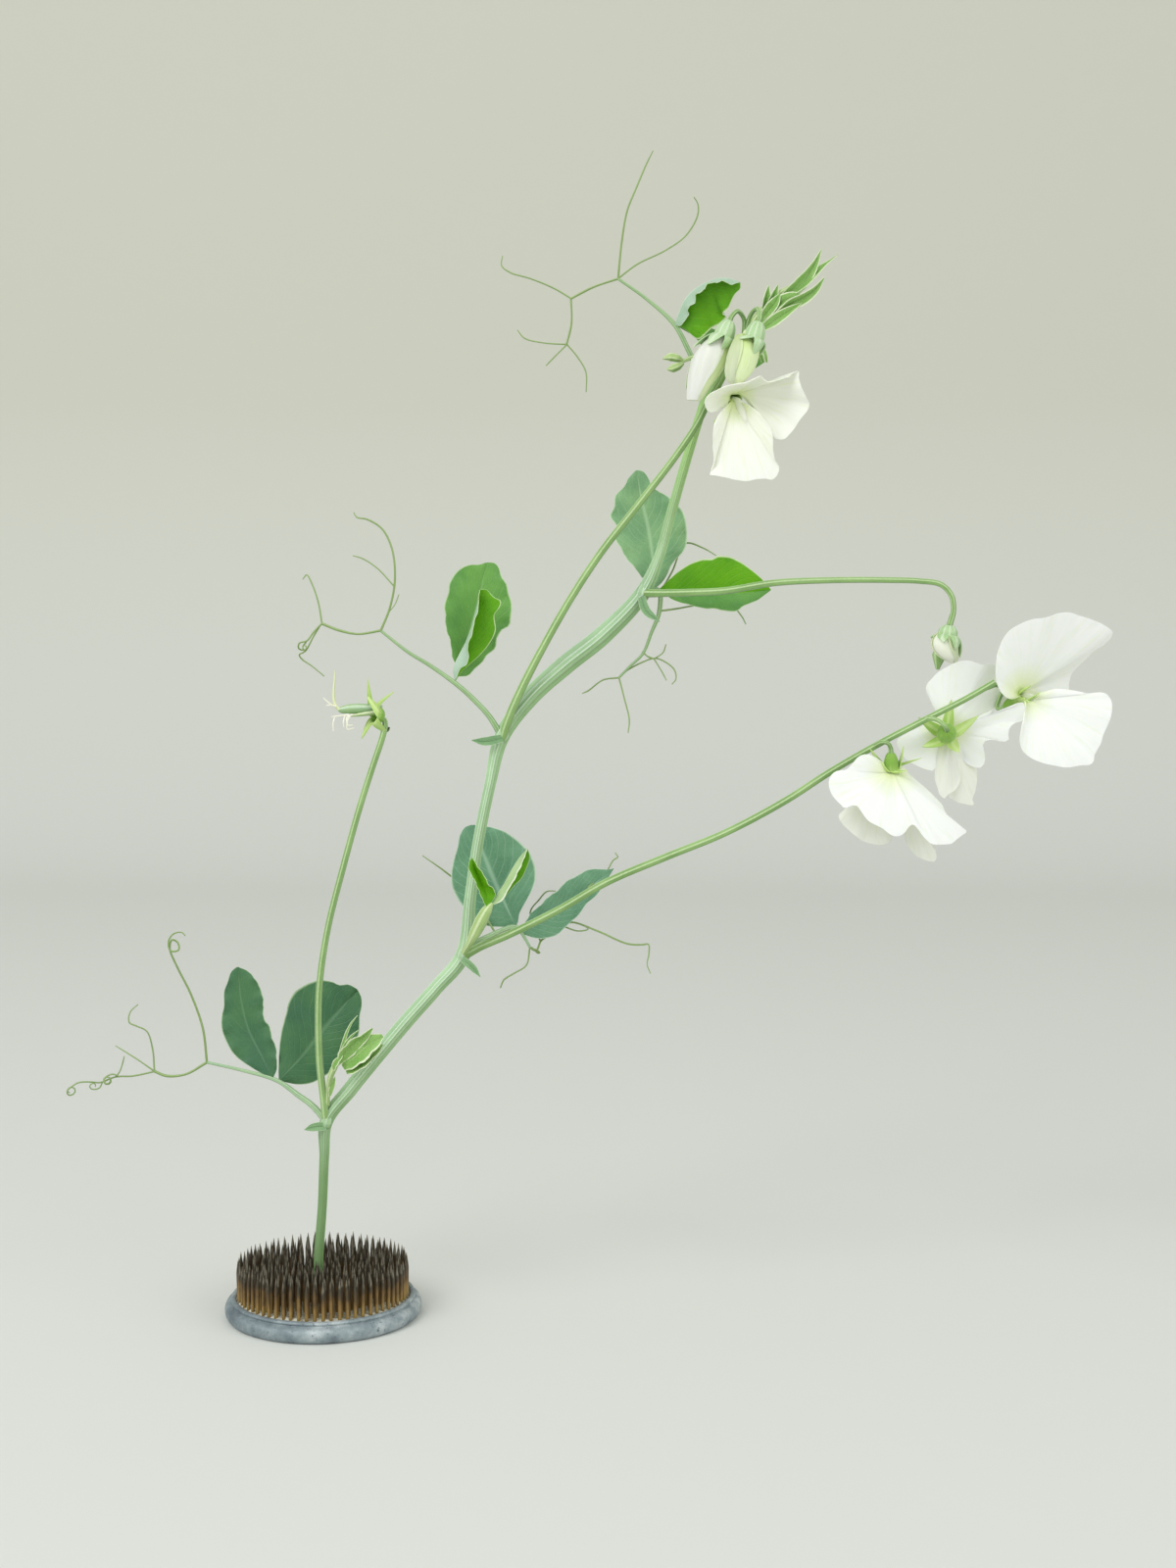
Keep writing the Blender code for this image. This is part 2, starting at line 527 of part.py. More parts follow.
def leaf_5(fresh):
    petiole = tube([(132.2, 2.2, 319.3), (129.6, 4.6, 325.0), (125.7, 5, 333.3), (120.7, 5, 342.2),
                    (111.3, 5, 350.6), (101.4, 5, 357.5)], [1.1, 1.0, 0.95, 0.85, 0.65, 0.6], 5,
                   4.0, 0.8)
    bright_one = leaflet([(121.0, 4.8, 341.8), (125.4, 2.4, 348.4), (131.4, 0, 354.0),
                          (142.4, -2.0, 356.2)],
                         [0.7, 6.8, 10.2, 11.6, 11.0, 7.6, 0.8], (-0.1, -1, -0.25), (66, 6), 0.6, 3)
    hidden_one = leaflet([(120.9, 5.2, 342.0), (131, 9.4, 341), (142, 11, 337), (152.8, 10.4, 330.7)],
                         [0.6, 5.4, 7.6, 8.4, 7.8, 5.2, 0.5], (0, -1, 0.2), (8, 10), 0.5, 3)
    threads = [
        tendril([(101.6, 5, 357.4), (102.6, 3, 368.2), (104.5, 1, 379.2), (107.7, 0, 387.1),
                 (110.9, -1, 395.0), (113.5, -2, 399.0)], 0.5),
        tendril([(101.6, 5, 357.4), (107.9, 3, 361.8), (117.7, 0, 366.2), (124.2, -2, 370.7),
                 (127.9, -4, 376.9), (127.9, -5, 380.5), (126.5, -6, 382.6)]),
        tendril([(101.8, 5, 357.4), (93.1, 6, 354.6), (85.4, 7, 350.8)], 0.55),
        tendril([(85.8, 7, 350.9), (79.7, 7, 354.4), (71.5, 5, 357.4), (64.2, 4, 359.5),
                 (62.3, 4, 364.4)]),
        tendril([(85.6, 7, 351.2), (85.8, 9, 342.9), (84.1, 10, 335.7)], 0.5),
        tendril([(84.3, 10, 335.9), (76.4, 11, 336.5), (69.7, 12, 338.2), (67.3, 12, 340.9)]),
        tendril([(84.3, 10, 335.9), (79.8, 8, 331.2), (77.2, 7, 328.4)]),
        tendril([(84.1, 10, 336.1), (88.1, 11, 331.5), (90.8, 12, 326.7), (90.9, 12, 320.0)])]
    node("leaf_5", [petiole, bright_one, hidden_one] + threads, fresh, around_stem(), "MANIFOLD")


def side_shoots(young):
    """Two leafy buds in the joints of the stem, still folded."""
    stem = tube([(2.6, -3.6, 70.8), (4.2, -6.2, 78), (6.2, -8.2, 87.5)], [0.8, 0.7, 1.0], 5, 4)
    folded = tube([(5.8, -8.0, 86.4), (9.4, -9, 90.4), (14.4, -9.4, 95.4), (20.6, -9.4, 100.8)],
                  [0.9, 3.4, 4.2, 3.6, 0.6], 6, 3.0, 0.55)
    spur = tube([(5.9, -8.0, 86.6), (8.0, -9.0, 95.0), (11.0, -9.2, 101.5), (13.5, -9, 106.5)],
                [0.7, 1.3, 0.8, 0.4], 5, 4.0)
    bract = leaflet([(3.6, -5.2, 75.6), (2.0, -7.6, 79.6), (3.6, -8.6, 84.0)], [0.5, 1.2, 1.1, 0.3],
                    (0, -1, 0), (10, 10), 0, rows=4, cols=3)
    node("side_shoot_1", [stem, folded, spur, bract], young,
         [*around_stem(), stalk_tube(STALK_1, STALK_1_R, CLEAR)])

    body = tube([(49.4, 1.2, 127.6), (51.8, -2.2, 131.5), (55.1, -4, 137.6), (58.4, -5.2, 144.2)],
                [1.0, 1.3, 2.6, 2.4, 0.9], 6, 3.0, 0.8)
    left = leaflet([(57.8, -5, 142.8), (54.9, -6.4, 151.6), (52.0, -7, 160.6)],
                   [0.6, 3.0, 3.6, 2.8, 0.4], (0.8, -1, 0), (16, 34), 0.3, 3, 6, 5)
    right = leaflet([(58.4, -5.2, 143.0), (64.6, -7, 152.6), (71.7, -8, 164.2)],
                    [0.6, 3.0, 3.8, 3.2, 0.4], (0.6, -1, 0), (58, 20), 0.3, 3, 6, 5)
    node("side_shoot_2", [body, left, right], young,
         [*around_stem(), stalk_tube(STALK_2, STALK_2_R, CLEAR)])


def tip_shoot(young):
    """The growing end of the stem, a bundle of leaves that have not opened yet."""
    heart = tube([(146.6, 3, 338.8), (154.0, 3, 345.4), (160.6, 3, 352.2), (167.4, 3, 357.8)],
                 [1.0, 2.4, 2.8, 2.4, 0.8], 6, 4.0, 0.8)
    blades = [
        tube([(159.0, 3, 350.6), (165.8, 2.6, 358.0), (171.0, 2, 367.0)], [1.6, 2.2, 0.4], 5, 4.0),
        tube([(159.6, 2.6, 350.8), (167.4, 3.4, 358.0), (174.2, 4, 365.2)], [1.4, 1.6, 0.4], 5, 4.0),
        tube([(154.0, 1.6, 345.4), (162.0, 0.4, 349.8), (170.4, 0, 357.8)], [1.4, 2.0, 0.4], 5, 4.0),
        tube([(149.0, 3, 340.8), (149.2, 2.4, 346.2), (150.6, 2, 352.0)], [1.2, 1.9, 0.4], 5, 3.0)]
    node("tip_shoot", [heart] + blades, young)


def tiny_buds(young):
    """A flower stalk that has only begun, with two beads of buds and a small bract."""
    stalk = tube([(136.4, 2.0, 327.5), (132.0, -1, 331.6), (126.8, -2, 330.4), (121.8, -3, 328.2)],
                 [0.9, 0.8, 0.8, 0.7], 5, 4.0)
    beads = [
        tube([(123.0, -2.8, 328.8), (120.6, -3, 330.0), (116.6, -3, 329.8)], [0.5, 1.7, 0.4], 6, 2.0),
        tube([(123.4, -2.8, 328.6), (121.4, -3.2, 327.0), (118.2, -3.4, 326.0)], [0.5, 1.6, 0.4], 6,
             2.0)]
    bract = leaflet([(126.6, -2, 330.2), (125.4, -2.6, 325.4), (124.2, -3, 320.0)],
                    [0.5, 1.5, 1.4, 0.3], (0, -1, 0), (10, 10), 0, rows=4, cols=3)
    node("tiny_buds", [stalk] + beads + [bract], young, around_stem())


# Flowers


CUP_FLOOR = 3.6         # from the underside of the calyx to the bottom of its cup
CUP_R = 2.35
MOUTH = 6.0


def calyx(name, socket, colour, reach, rise, roll=0, mouth_r=3.1, mouth=MOUTH, cup_r=CUP_R):
    """A bell with five pointed teeth. reach is how far their tips stand from the axis, and
    rise how far they lie beyond the mouth."""
    verts, faces = [], []
    ring = 10
    foot = [(1.1, 0), (1.9, 0.9), (mouth_r * 0.95, mouth * 0.62), (mouth_r, mouth - 0.4)]
    inner_r = cup_r + 0.2
    notch = [(mouth_r, mouth), (inner_r, mouth), (inner_r, mouth - 0.5)]
    tooth = [(reach, mouth + rise), (reach - 0.25, mouth + rise + 0.5), (inner_r, mouth + 0.2)]
    columns = [foot + lip + [(cup_r, CUP_FLOOR)] for lip in (notch, tooth)]
    rows = len(columns[0])
    for i in range(rows):
        for k in range(ring):
            angle = 2 * pi * k / ring + radians(roll)
            radius, height = columns[k % 2][i]
            verts.append(socket.at(radius * cos(angle), radius * sin(angle), height))
    for i in range(rows - 1):
        for k in range(ring):
            a, b = i * ring + k, i * ring + (k + 1) % ring
            c, d = b + ring, a + ring
            # Both skins of a tooth are split through its tip, so that they lie alike.
            if (k % 2 == 0) == (i < len(foot)):
                faces += [[a, b, c], [a, c, d]]
            else:
                faces += [[a, b, d], [b, c, d]]
    faces.append(list(range(ring))[::-1])
    faces.append([(rows - 1) * ring + k for k in range(ring)])
    return node(name, [(verts, faces)], colour)


def petal(name, foot, throat, across, edge, bulge, white, ruffle=0.5, waves=3.0, cols=8, rows=4,
          claw=1.0, neck_width=1.4):
    """A petal on its narrow claw. foot and throat are the ends of the claw, across is the way
    the claw is wide, edge is the rim from one side round to the other, and bulge is how far
    the middle of the petal stands off a flat fan."""
    rim, _ = smooth(edge, 0.4)
    distance = np.concatenate([[0], np.cumsum(np.linalg.norm(np.diff(rim, axis=0), axis=1))])
    t = np.linspace(0, 1, cols)
    rim = np.array([[np.interp(v * distance[-1], distance, rim[:, axis]) for axis in range(3)]
                    for v in t])
    across = unit(across) * np.sign(np.dot(across, rim[-1] - rim[0]))
    offsets = (2 * t - 1)[:, None] * across
    start, neck = foot + offsets * claw, throat + offsets * neck_width
    grid = [start, neck]
    for s in np.linspace(0, 1, rows + 1)[1:]:
        middle = (neck + rim) / 2 + np.asarray(bulge, float)
        grid.append((1 - s) ** 2 * neck + 2 * s * (1 - s) * middle + s**2 * rim)
    grid = np.array(grid)
    normal = np.cross(np.gradient(grid, axis=1), np.gradient(grid, axis=0))
    normal /= np.linalg.norm(normal, axis=2)[:, :, None]
    for i in range(2, rows + 2):
        s = (i - 1) / rows
        grid[i] += normal[i] * (ruffle * s * s * np.sin(2 * pi * waves * t))[:, None]
    return node(name, [sheet(grid)], white)


def keel(name, socket, points, white):
    """The small boat-shaped pair of petals between the wings."""
    return node(name, [tube([socket.at(0, -0.7, CUP_FLOOR + CLEAR), socket.at(0, -0.7, MOUTH + 2.4)]
                            + points, [0.6, 0.7, 1.2, 1.7, 1.3, 0.5], 6, 3.0, 0.6)], white)


def bloom(letter, standard, left, right, keel_points, bulges, colours, reach=6.0, rise=1.6,
          roll=18, neck=(1.4, 1.45)):
    """One open flower on its calyx: standard, two wings and keel. neck is the half-width of
    the standard's claw at the mouth of the cup and how far it lies from the axis there."""
    green, white = colours
    name = "bloom_" + letter
    socket = Socket(name)
    calyx(name + "_calyx", socket, green, reach, rise, roll)
    floor = CUP_FLOOR + CLEAR
    petal(name + "_standard", socket.at(0, 1.3, floor), socket.at(0, neck[1], MOUTH + 0.6),
          socket.side, standard, bulges[0], white, 0.7, 3.5, cols=11, neck_width=neck[0])
    petal(name + "_wing_left", socket.at(-1.5, -0.35, floor), socket.at(-1.7, -0.5, MOUTH + 2.6),
          socket.up, left, bulges[1], white, 0.4, 2.0, claw=0.75, neck_width=0.9)
    petal(name + "_wing_right", socket.at(1.5, -0.35, floor), socket.at(1.7, -0.5, MOUTH + 2.6),
          socket.up, right, bulges[2], white, 0.4, 2.0, claw=0.75, neck_width=0.9)
    keel(name + "_keel", socket, keel_points, white)


def blooms(green, white):
    colours = (green, white)
    # A faces right, its standard folded back behind it.
    bloom("a",
          [(227.1, -20, 224.3), (226.8, -22, 234.1), (230.9, -22, 240.5), (238.0, -21, 243.8),
           (247.7, -18, 245.1), (258.4, -14, 243.8), (267.8, -8, 238.2), (266.8, 0, 234.7),
           (264.1, 7, 229.8), (261.7, 10, 224.3), (261.1, 8, 219.6)],
          [(267.4, -14, 213.6), (264.6, -16, 201.2), (259.1, -18, 195.5), (250.5, -20, 194.3),
           (242.0, -21, 196.6), (236.8, -21, 202.5), (237.4, -19, 209.6)],
          [(266.4, -6, 213.6), (265.1, -4, 203.8), (261.7, -2, 196.9), (254.6, -1, 194.8),
           (247.2, -1, 196.8), (242.8, -2, 201.9), (241.6, -4, 208.7)],
          [(245.5, -12.0, 212.4), (250.9, -12.0, 207.5), (253.7, -12.0, 201.6)],
          [(3, -3, 1), (4, -4, 2.5), (5, 1, 3)], colours, 4.6, 0.2, 0)
    # B is seen from behind, facing away and down.
    bloom("b",
          [(204.8, -12, 192.2), (197.3, -15, 196.1), (194.1, -16, 202.1), (200.6, -12, 206.8),
           (205.1, -10, 213.2), (205.5, -11, 219.6), (206.8, -12, 224.3), (212.0, -12, 228.2),
           (218.3, -12, 229.5), (224.8, -12, 227.9), (226.8, -12, 223.2), (226.0, -12, 218.2),
           (229.8, -13, 214.6), (236.0, -16, 211.0), (233.1, -17, 204.6), (225.2, -15, 201.1),
           (219.9, -13, 195.4)],
          [(225.0, -4, 199.6), (227.0, -3, 196.8), (226.3, -2, 193.0), (223.2, 0, 188.8),
           (218.4, 1, 186.3), (214.6, 0, 188.3)],
          [(210.4, -9, 195.0), (209.6, -9, 190.4), (211.2, -8, 184.9), (213.9, -8, 182.3),
           (218.8, -8, 181.4), (222.9, -9, 181.5), (223.6, -10, 187.2), (221.5, -10, 193.6)],
          [(212.4, -8.5, 199.8), (212.2, -7.3, 195.8), (214.6, -6.5, 194.2)],
          [(0.5, 2, 0), (1.5, 3, 1), (-1, 1.5, 1)], colours, 8.0, -0.4, 0, (1.6, 1.75))
    # C nods, its standard hanging in front like a roof.
    bloom("c",
          [(184.3, -23.5, 194.8), (179.4, -24, 193.0), (173.4, -25, 191.0), (172.4, -26, 188.3),
           (174.1, -28, 183.7), (179.6, -30, 180.3), (186.0, -31, 176.1), (193.5, -31, 171.6),
           (197.8, -30, 171.2), (201.7, -30, 171.9), (207.6, -28, 168.1), (213.7, -24, 168.7),
           (218.9, -20, 172.3), (213.0, -17, 178.1), (205.6, -15, 186.0), (200.6, -15, 190.1)],
          [(182.9, -13, 184.5), (177.6, -16, 177.9), (178.1, -18, 172.8), (183.1, -18, 169.2),
           (188.8, -17, 167.4), (193.2, -16, 168.8), (194.4, -14, 173.1)],
          [(198.7, -10, 174.3), (199.4, -11, 166.8), (202.2, -12, 163.2), (205.5, -12, 161.2),
           (209.8, -12, 161.6), (209.7, -12, 165.9), (205.8, -11, 175.1)],
          [(194.5, -15, 186.6), (194.4, -12.4, 181.5), (195.6, -10, 174.6)],
          [(0, -3.5, -3), (-2, 1, -1), (2, 2, -1)], colours, 4.8, -1.2, 0)
    # D faces out and down to the right.
    bloom("d",
          [(133.5, -15, 312.0), (131.4, -18, 313.1), (131.9, -21, 314.9), (134.8, -23, 317.0),
           (142.8, -23, 320.0), (148.1, -22, 322.0), (152.9, -19, 321.6), (158.2, -17, 322.5),
           (161.2, -16, 324.2), (162.2, -16, 320.4), (164.6, -15, 315.3), (161.8, -15, 308.9),
           (156.2, -16, 302.0), (152.8, -16, 304.5)],
          [(133.9, -20, 309.6), (133.1, -23, 304.3), (132.8, -23, 294.8), (132.0, -21, 290.4),
           (136.8, -22, 289.1), (144.6, -22, 288.8), (149.2, -21, 289.2), (153.8, -20, 291.2),
           (154.1, -20, 294.4), (152.4, -20, 300.9), (150.8, -20, 305.4)],
          [(140.1, -9, 307.4), (139.2, -8, 302.2), (140.3, -8, 296.4), (145.8, -9, 292.4),
           (151.6, -10, 294.3), (153.4, -11, 300.4), (152.6, -12, 305.2)],
          [(143.4, -13.4, 310.0), (144.2, -13.4, 305.5), (145.0, -13.2, 300.0)],
          [(1, -4, 2), (0, -3, 1), (1, 1, -1)], colours, 4.6, -1.0, 0)


def bud(name, tip, widest, green, white, depth=0.75, mouth=MOUTH, rise=3.6):
    """A closed flower: the petals rolled to a smooth body in a deep calyx."""
    socket = Socket(name)
    calyx(name + "_calyx", socket, green, 4.6, rise, 0, 3.3, mouth, 2.6)
    tip = np.asarray(tip, float)
    out = socket.at(0, 0, mouth + rise + 0.4)
    body = [socket.at(0, 0, CUP_FLOOR + CLEAR), socket.at(0, 0, mouth + 0.4), out,
            out + (tip - out) * 0.36, out + (tip - out) * 0.72, tip]
    radii = [1.7, 2.1, min(3.4, widest), widest, widest * 0.8, 0.6]
    node(name + "_petals", [tube(body, radii, 8, 2.6, depth)], white)


def buds(green, cream, lime):
    bud("bud_e1", (126.8, -14.0, 314.2), 6.0, green, cream, 0.7)
    bud("bud_e2", (141.2, -18.6, 321.6), 5.0, green, cream, 0.75)
    bud("bud_f", (213.2, -4.6, 227.6), 3.7, green, lime, 0.9)


def spent_flower(green, pod_green):
    """A flower that has dropped its petals, with the young pod in its calyx."""
    socket = Socket("spent")
    calyx("spent_calyx", socket, green, 8.8, 2.4, 8, 3.4)
    pod = tube([socket.at(0, 0, CUP_FLOOR + CLEAR), socket.at(0, 0, MOUTH), (16.4, -10.4, 211.6),
                (12.2, -11, 212.0), (7.8, -11.2, 211.8)], [0.9, 1.2, 1.5, 1.6, 1.4, 0.6], 6, 3.0, 0.8)
    style = tube([(8.6, -11.2, 211.9), (6.7, -11.2, 213.6), (6.3, -11, 219.0), (6.8, -11, 224.4)],
                 [0.6, 0.5, 0.4], 4, 3.0)
    node("young_pod", [pod, style], pod_green)


def main():
    for obj in list(bpy.data.objects):
        bpy.data.objects.remove(obj)
    holder_base()
    holder_pins()
    stem_green = material("stem_green", (0.24, 0.38, 0.17), 0.55)
    deep_green = material("leaf_blue_green", (0.07, 0.17, 0.10), 0.6)
    fresh_green = material("leaf_fresh_green", (0.10, 0.26, 0.08), 0.55)
    young_green = material("shoot_yellow_green", (0.28, 0.45, 0.10), 0.55)
    calyx_green = material("calyx_green", (0.42, 0.58, 0.20), 0.55)
    bud_lime = material("bud_lime", (0.62, 0.72, 0.36), 0.5)
    cream = material("petal_cream", (0.86, 0.88, 0.66), 0.5)
    white = material("petal_white", (0.90, 0.90, 0.84), 0.5)
    main_stem(stem_green)
    branches(stem_green)
    leaf_1(deep_green)
    leaf_2(deep_green)
    leaf_3(fresh_green)
    leaf_4(fresh_green)
    leaf_5(fresh_green)
    side_shoots(young_green)
    tip_shoot(young_green)
    tiny_buds(young_green)
    blooms(calyx_green, white)
    buds(calyx_green, cream, bud_lime)
    spent_flower(calyx_green, deep_green)


main()
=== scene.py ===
# A cut sweet pea spray standing in its pin holder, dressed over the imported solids.
#
# Lengths are in millimetres until a mesh is made. X runs to the side the spray leans to, Y away
# from the viewer and Z up. The origin is the centre of the holder's underside.

from math import cos, pi, radians, sin

import bpy
import numpy as np
from mathutils import Matrix, Vector


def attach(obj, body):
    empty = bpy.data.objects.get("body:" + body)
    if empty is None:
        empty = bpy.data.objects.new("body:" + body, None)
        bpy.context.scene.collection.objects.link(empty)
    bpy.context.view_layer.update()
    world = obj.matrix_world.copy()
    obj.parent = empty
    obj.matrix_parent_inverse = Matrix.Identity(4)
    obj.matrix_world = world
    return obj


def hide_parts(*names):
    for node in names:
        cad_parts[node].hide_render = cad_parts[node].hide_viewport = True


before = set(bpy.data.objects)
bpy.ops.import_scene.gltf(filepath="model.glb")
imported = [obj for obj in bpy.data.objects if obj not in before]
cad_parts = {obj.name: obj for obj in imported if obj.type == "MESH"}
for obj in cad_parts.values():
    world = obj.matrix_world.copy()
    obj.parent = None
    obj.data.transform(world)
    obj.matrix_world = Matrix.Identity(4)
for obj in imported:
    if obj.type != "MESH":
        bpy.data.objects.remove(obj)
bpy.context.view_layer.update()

chance = np.random.default_rng(7)


# Holder base: a round slug of lead cast in an open mould, with a rolled foot, a groove and a
# low rim round the bed that the pins stand in. It rests on the table on its flat underside.


def srgb(code):
    """The linear colour of an sRGB hex value."""
    parts = [int(code[i:i + 2], 16) / 255 for i in (1, 3, 5)]
    return (*(v / 12.92 if v <= 0.04045 else ((v + 0.055) / 1.055) ** 2.4 for v in parts), 1)


def add(tree, kind, settings, links=None):
    """Adds a node. settings holds its properties, its input values by name or number, and a
    ramp's stops. links holds, by input, the node and output that feed it."""
    made = tree.nodes.new("ShaderNode" + kind)
    for key, value in settings.items():
        if key == "stops":
            while len(made.color_ramp.elements) < len(value):
                made.color_ramp.elements.new(0.5)
            for stop, (place, colour) in zip(made.color_ramp.elements, value):
                stop.position = place
                stop.color = srgb(colour)
        elif isinstance(key, str) and hasattr(made, key):
            setattr(made, key, value)
        else:
            made.inputs[key].default_value = value
    for key, (source, output) in (links or {}).items():
        tree.links.new(source.outputs[output], made.inputs[key])
    return made


def finish_of(name, roughness, metallic=0.0, **sockets):
    """A new material with its node tree and its shader."""
    made = bpy.data.materials.new(name)
    made.use_nodes = True
    shader = made.node_tree.nodes["Principled BSDF"]
    shader.inputs["Roughness"].default_value = roughness
    shader.inputs["Metallic"].default_value = metallic
    for key, value in sockets.items():
        shader.inputs[key.replace("_", " ")].default_value = value
    return made, made.node_tree, shader


class Skin:
    """The faces of one piece, gathered sheet by sheet before its mesh is made."""

    def __init__(self):
        self.points, self.faces, self.uvs, self.finishes = [], [], [], []
        self.count = 0

    def grid(self, points, uv, finish=0, closed=False, flip=False):
        """Quads over rows and columns of points. When closed, the last column joins the first
        and uv has one column more than the points."""
        rows, cols = points.shape[:2]
        last = cols if closed else cols - 1
        i, k = np.meshgrid(np.arange(rows - 1), np.arange(last), indexing="ij")
        n = (k + 1) % cols
        quads = np.stack([i * cols + k, i * cols + n, (i + 1) * cols + n, (i + 1) * cols + k], -1)
        corners = np.stack([uv[i, k], uv[i, k + 1], uv[i + 1, k + 1], uv[i + 1, k]], 2)
        quads, corners = quads.reshape(-1, 4), corners.reshape(-1, 4, 2)
        if flip:
            quads, corners = quads[:, ::-1], corners[:, ::-1]
        self.faces += (quads + self.count).tolist()
        self.uvs.append(corners.reshape(-1, 2))
        self.finishes += [finish] * len(quads)
        self.points.append(points.reshape(-1, 3))
        self.count += rows * cols

    def lid(self, ring, uv, finish=0):
        """One flat face round a ring of points."""
        self.faces.append([self.count + k for k in range(len(ring))])
        self.uvs.append(np.tile(uv, (len(ring), 1)))
        self.finishes.append(finish)
        self.points.append(np.asarray(ring, float))
        self.count += len(ring)

    def piece(self, name, materials, nodes, slot):
        """Makes the object, which stands for the CAD nodes."""
        mesh = bpy.data.meshes.new(name)
        mesh.from_pydata(np.concatenate(self.points) / 1000, [], self.faces)
        layer = mesh.uv_layers.new(name="UVMap")
        layer.data.foreach_set("uv", np.concatenate(self.uvs).astype(np.float32).ravel())
        for made in materials:
            mesh.materials.append(made)
        mesh.polygons.foreach_set("material_index", self.finishes)
        mesh.shade_smooth()
        mesh.set_sharp_from_angle(angle=radians(50))
        made = bpy.data.objects.new(name, mesh)
        bpy.context.scene.collection.objects.link(made)
        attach(made, "root")
        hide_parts(*nodes)
        return made


def turned(skin, profile, segments, wobble=0.0):
    """Turns a profile of radius and height points about Z. wobble dents it as a casting is."""
    profile = np.asarray(profile, float)
    angles = np.linspace(0, 2 * pi, segments, endpoint=False)
    drift = wobble * (0.6 * np.sin(3 * angles + 1) + 0.4 * np.sin(7 * angles) + 0.3 * np.sin(13 * angles + 2))
    radius = profile[:, :1] + drift[None] * (profile[:, :1] > 20)
    points = np.stack([radius * np.cos(angles), radius * np.sin(angles),
                       np.repeat(profile[:, 1:], segments, 1)], -1)
    travel = np.concatenate([[0], np.cumsum(np.linalg.norm(np.diff(profile, axis=0), axis=1))])
    u, v = np.meshgrid(np.linspace(0, 1, segments + 1), travel / 10)
    skin.grid(points, np.stack([u, v], -1), closed=True)


# Cast lead: soft and dull, blue-grey where it is bare, with a whitish oxide that gathers in
# patches. The oxide hides the metal's shine, so it is rougher and not metallic to the eye.
cast_lead, tree, shader = finish_of("cast lead", 0.62, 0.25)
place = add(tree, "TexCoord", {})
patches = add(tree, "TexNoise", {"Scale": 95.0, "Detail": 6.0, "Roughness": 0.62},
              {"Vector": (place, "Object")})
tone = add(tree, "ValToRGB", {"stops": [(0.32, "#66737a"), (0.46, "#808d92"), (0.57, "#98a4a7"),
                                        (0.70, "#bfc7c8")]}, {"Fac": (patches, "Fac")})
speck = add(tree, "TexNoise", {"Scale": 900.0, "Detail": 3.0}, {"Vector": (place, "Object")})
grit = add(tree, "MapRange", {"From Min": 0.60, "From Max": 0.74}, {"Value": (speck, "Fac")})
blend = add(tree, "Mix", {"data_type": "RGBA", 7: srgb("#5c676e")}, {0: (grit, 0), 6: (tone, "Color")})
tree.links.new(blend.outputs[2], shader.inputs["Base Color"])
relief = add(tree, "Bump", {"Strength": 0.5, "Distance": 0.0004}, {"Height": (patches, "Fac")})
fine = add(tree, "Bump", {"Strength": 0.35, "Distance": 0.0001},
           {"Height": (speck, "Fac"), "Normal": (relief, 0)})
tree.links.new(fine.outputs[0], shader.inputs["Normal"])

base = Skin()
turned(base, [
    (0.01, 0.0), (20.0, 0.0), (31.6, 0.0), (32.4, 0.05), (33.1, 0.3), (33.6, 0.8), (33.95, 1.5),
    (34.1, 2.3), (34.15, 3.1), (34.0, 3.9), (33.7, 4.5), (33.2, 4.95), (32.6, 5.25), (32.1, 5.4),
    (31.75, 5.5), (31.6, 5.7), (31.7, 5.95), (31.95, 6.2), (32.0, 6.5), (31.85, 6.8), (31.5, 7.0),
    (31.0, 7.1), (30.6, 7.1), (30.3, 6.95), (30.15, 6.6), (30.1, 5.6), (20.0, 5.6), (0.01, 5.6)],
    180, 0.14)
base.piece("holder_base_casting", [cast_lead], ["holder_base"], "lead")


# Pin bed and pins: about four hundred brass pins cast into the lead in rings, each ground to a
# point. Age has browned their shafts and blackened their tips, and a pale crust of lead
# carbonate lies round their feet.

BED_RADIUS, BED_HEIGHT = 29.95, 7.0
PIN_RADIUS, PIN_TOP, PIN_POINT = 0.62, 20.2, 4.2
RING_PITCH, RINGS = 2.66, 11
STEM_PIN = (-1.2, -3.45)

crust, tree, shader = finish_of("lead carbonate crust", 0.85)
place = add(tree, "TexCoord", {})
lumps = add(tree, "TexNoise", {"Scale": 420.0, "Detail": 5.0, "Roughness": 0.6},
            {"Vector": (place, "Object")})
tone = add(tree, "ValToRGB", {"stops": [(0.30, "#7d7a69"), (0.45, "#b9b7a4"), (0.60, "#dad9cb"),
                                        (0.75, "#eeede2")]}, {"Fac": (lumps, "Fac")})
tree.links.new(tone.outputs["Color"], shader.inputs["Base Color"])
relief = add(tree, "Bump", {"Strength": 0.6, "Distance": 0.0005}, {"Height": (lumps, "Fac")})
tree.links.new(relief.outputs[0], shader.inputs["Normal"])

bed = Skin()
reach = np.concatenate([[0.01], np.linspace(1.2, BED_RADIUS, 26)])
angles = np.linspace(0, 2 * pi, 120, endpoint=False)
crumbs = (0.22 * np.sin(reach[:, None] * 1.9 + 3 * np.sin(angles * 5)) * np.sin(angles * 23 + reach[:, None])
          + 0.12 * chance.standard_normal((len(reach), 120)))
height = BED_HEIGHT + crumbs * np.minimum(1, reach / 6)[:, None]
height[-1] -= 0.5
points = np.stack([reach[:, None] * np.cos(angles), reach[:, None] * np.sin(angles), height], -1)
u, v = np.meshgrid(np.linspace(0, 1, 121), reach / 10)
bed.grid(points, np.stack([u, v], -1), closed=True)
side = np.stack([points[-1], points[-1] - (0, 0, 1.0)])
bed.grid(side, np.stack(np.meshgrid(np.linspace(0, 1, 121), [0, 0.1]), -1), closed=True)
bed.piece("pin_bed_crust", [crust], ["holder_pins"], "lead")

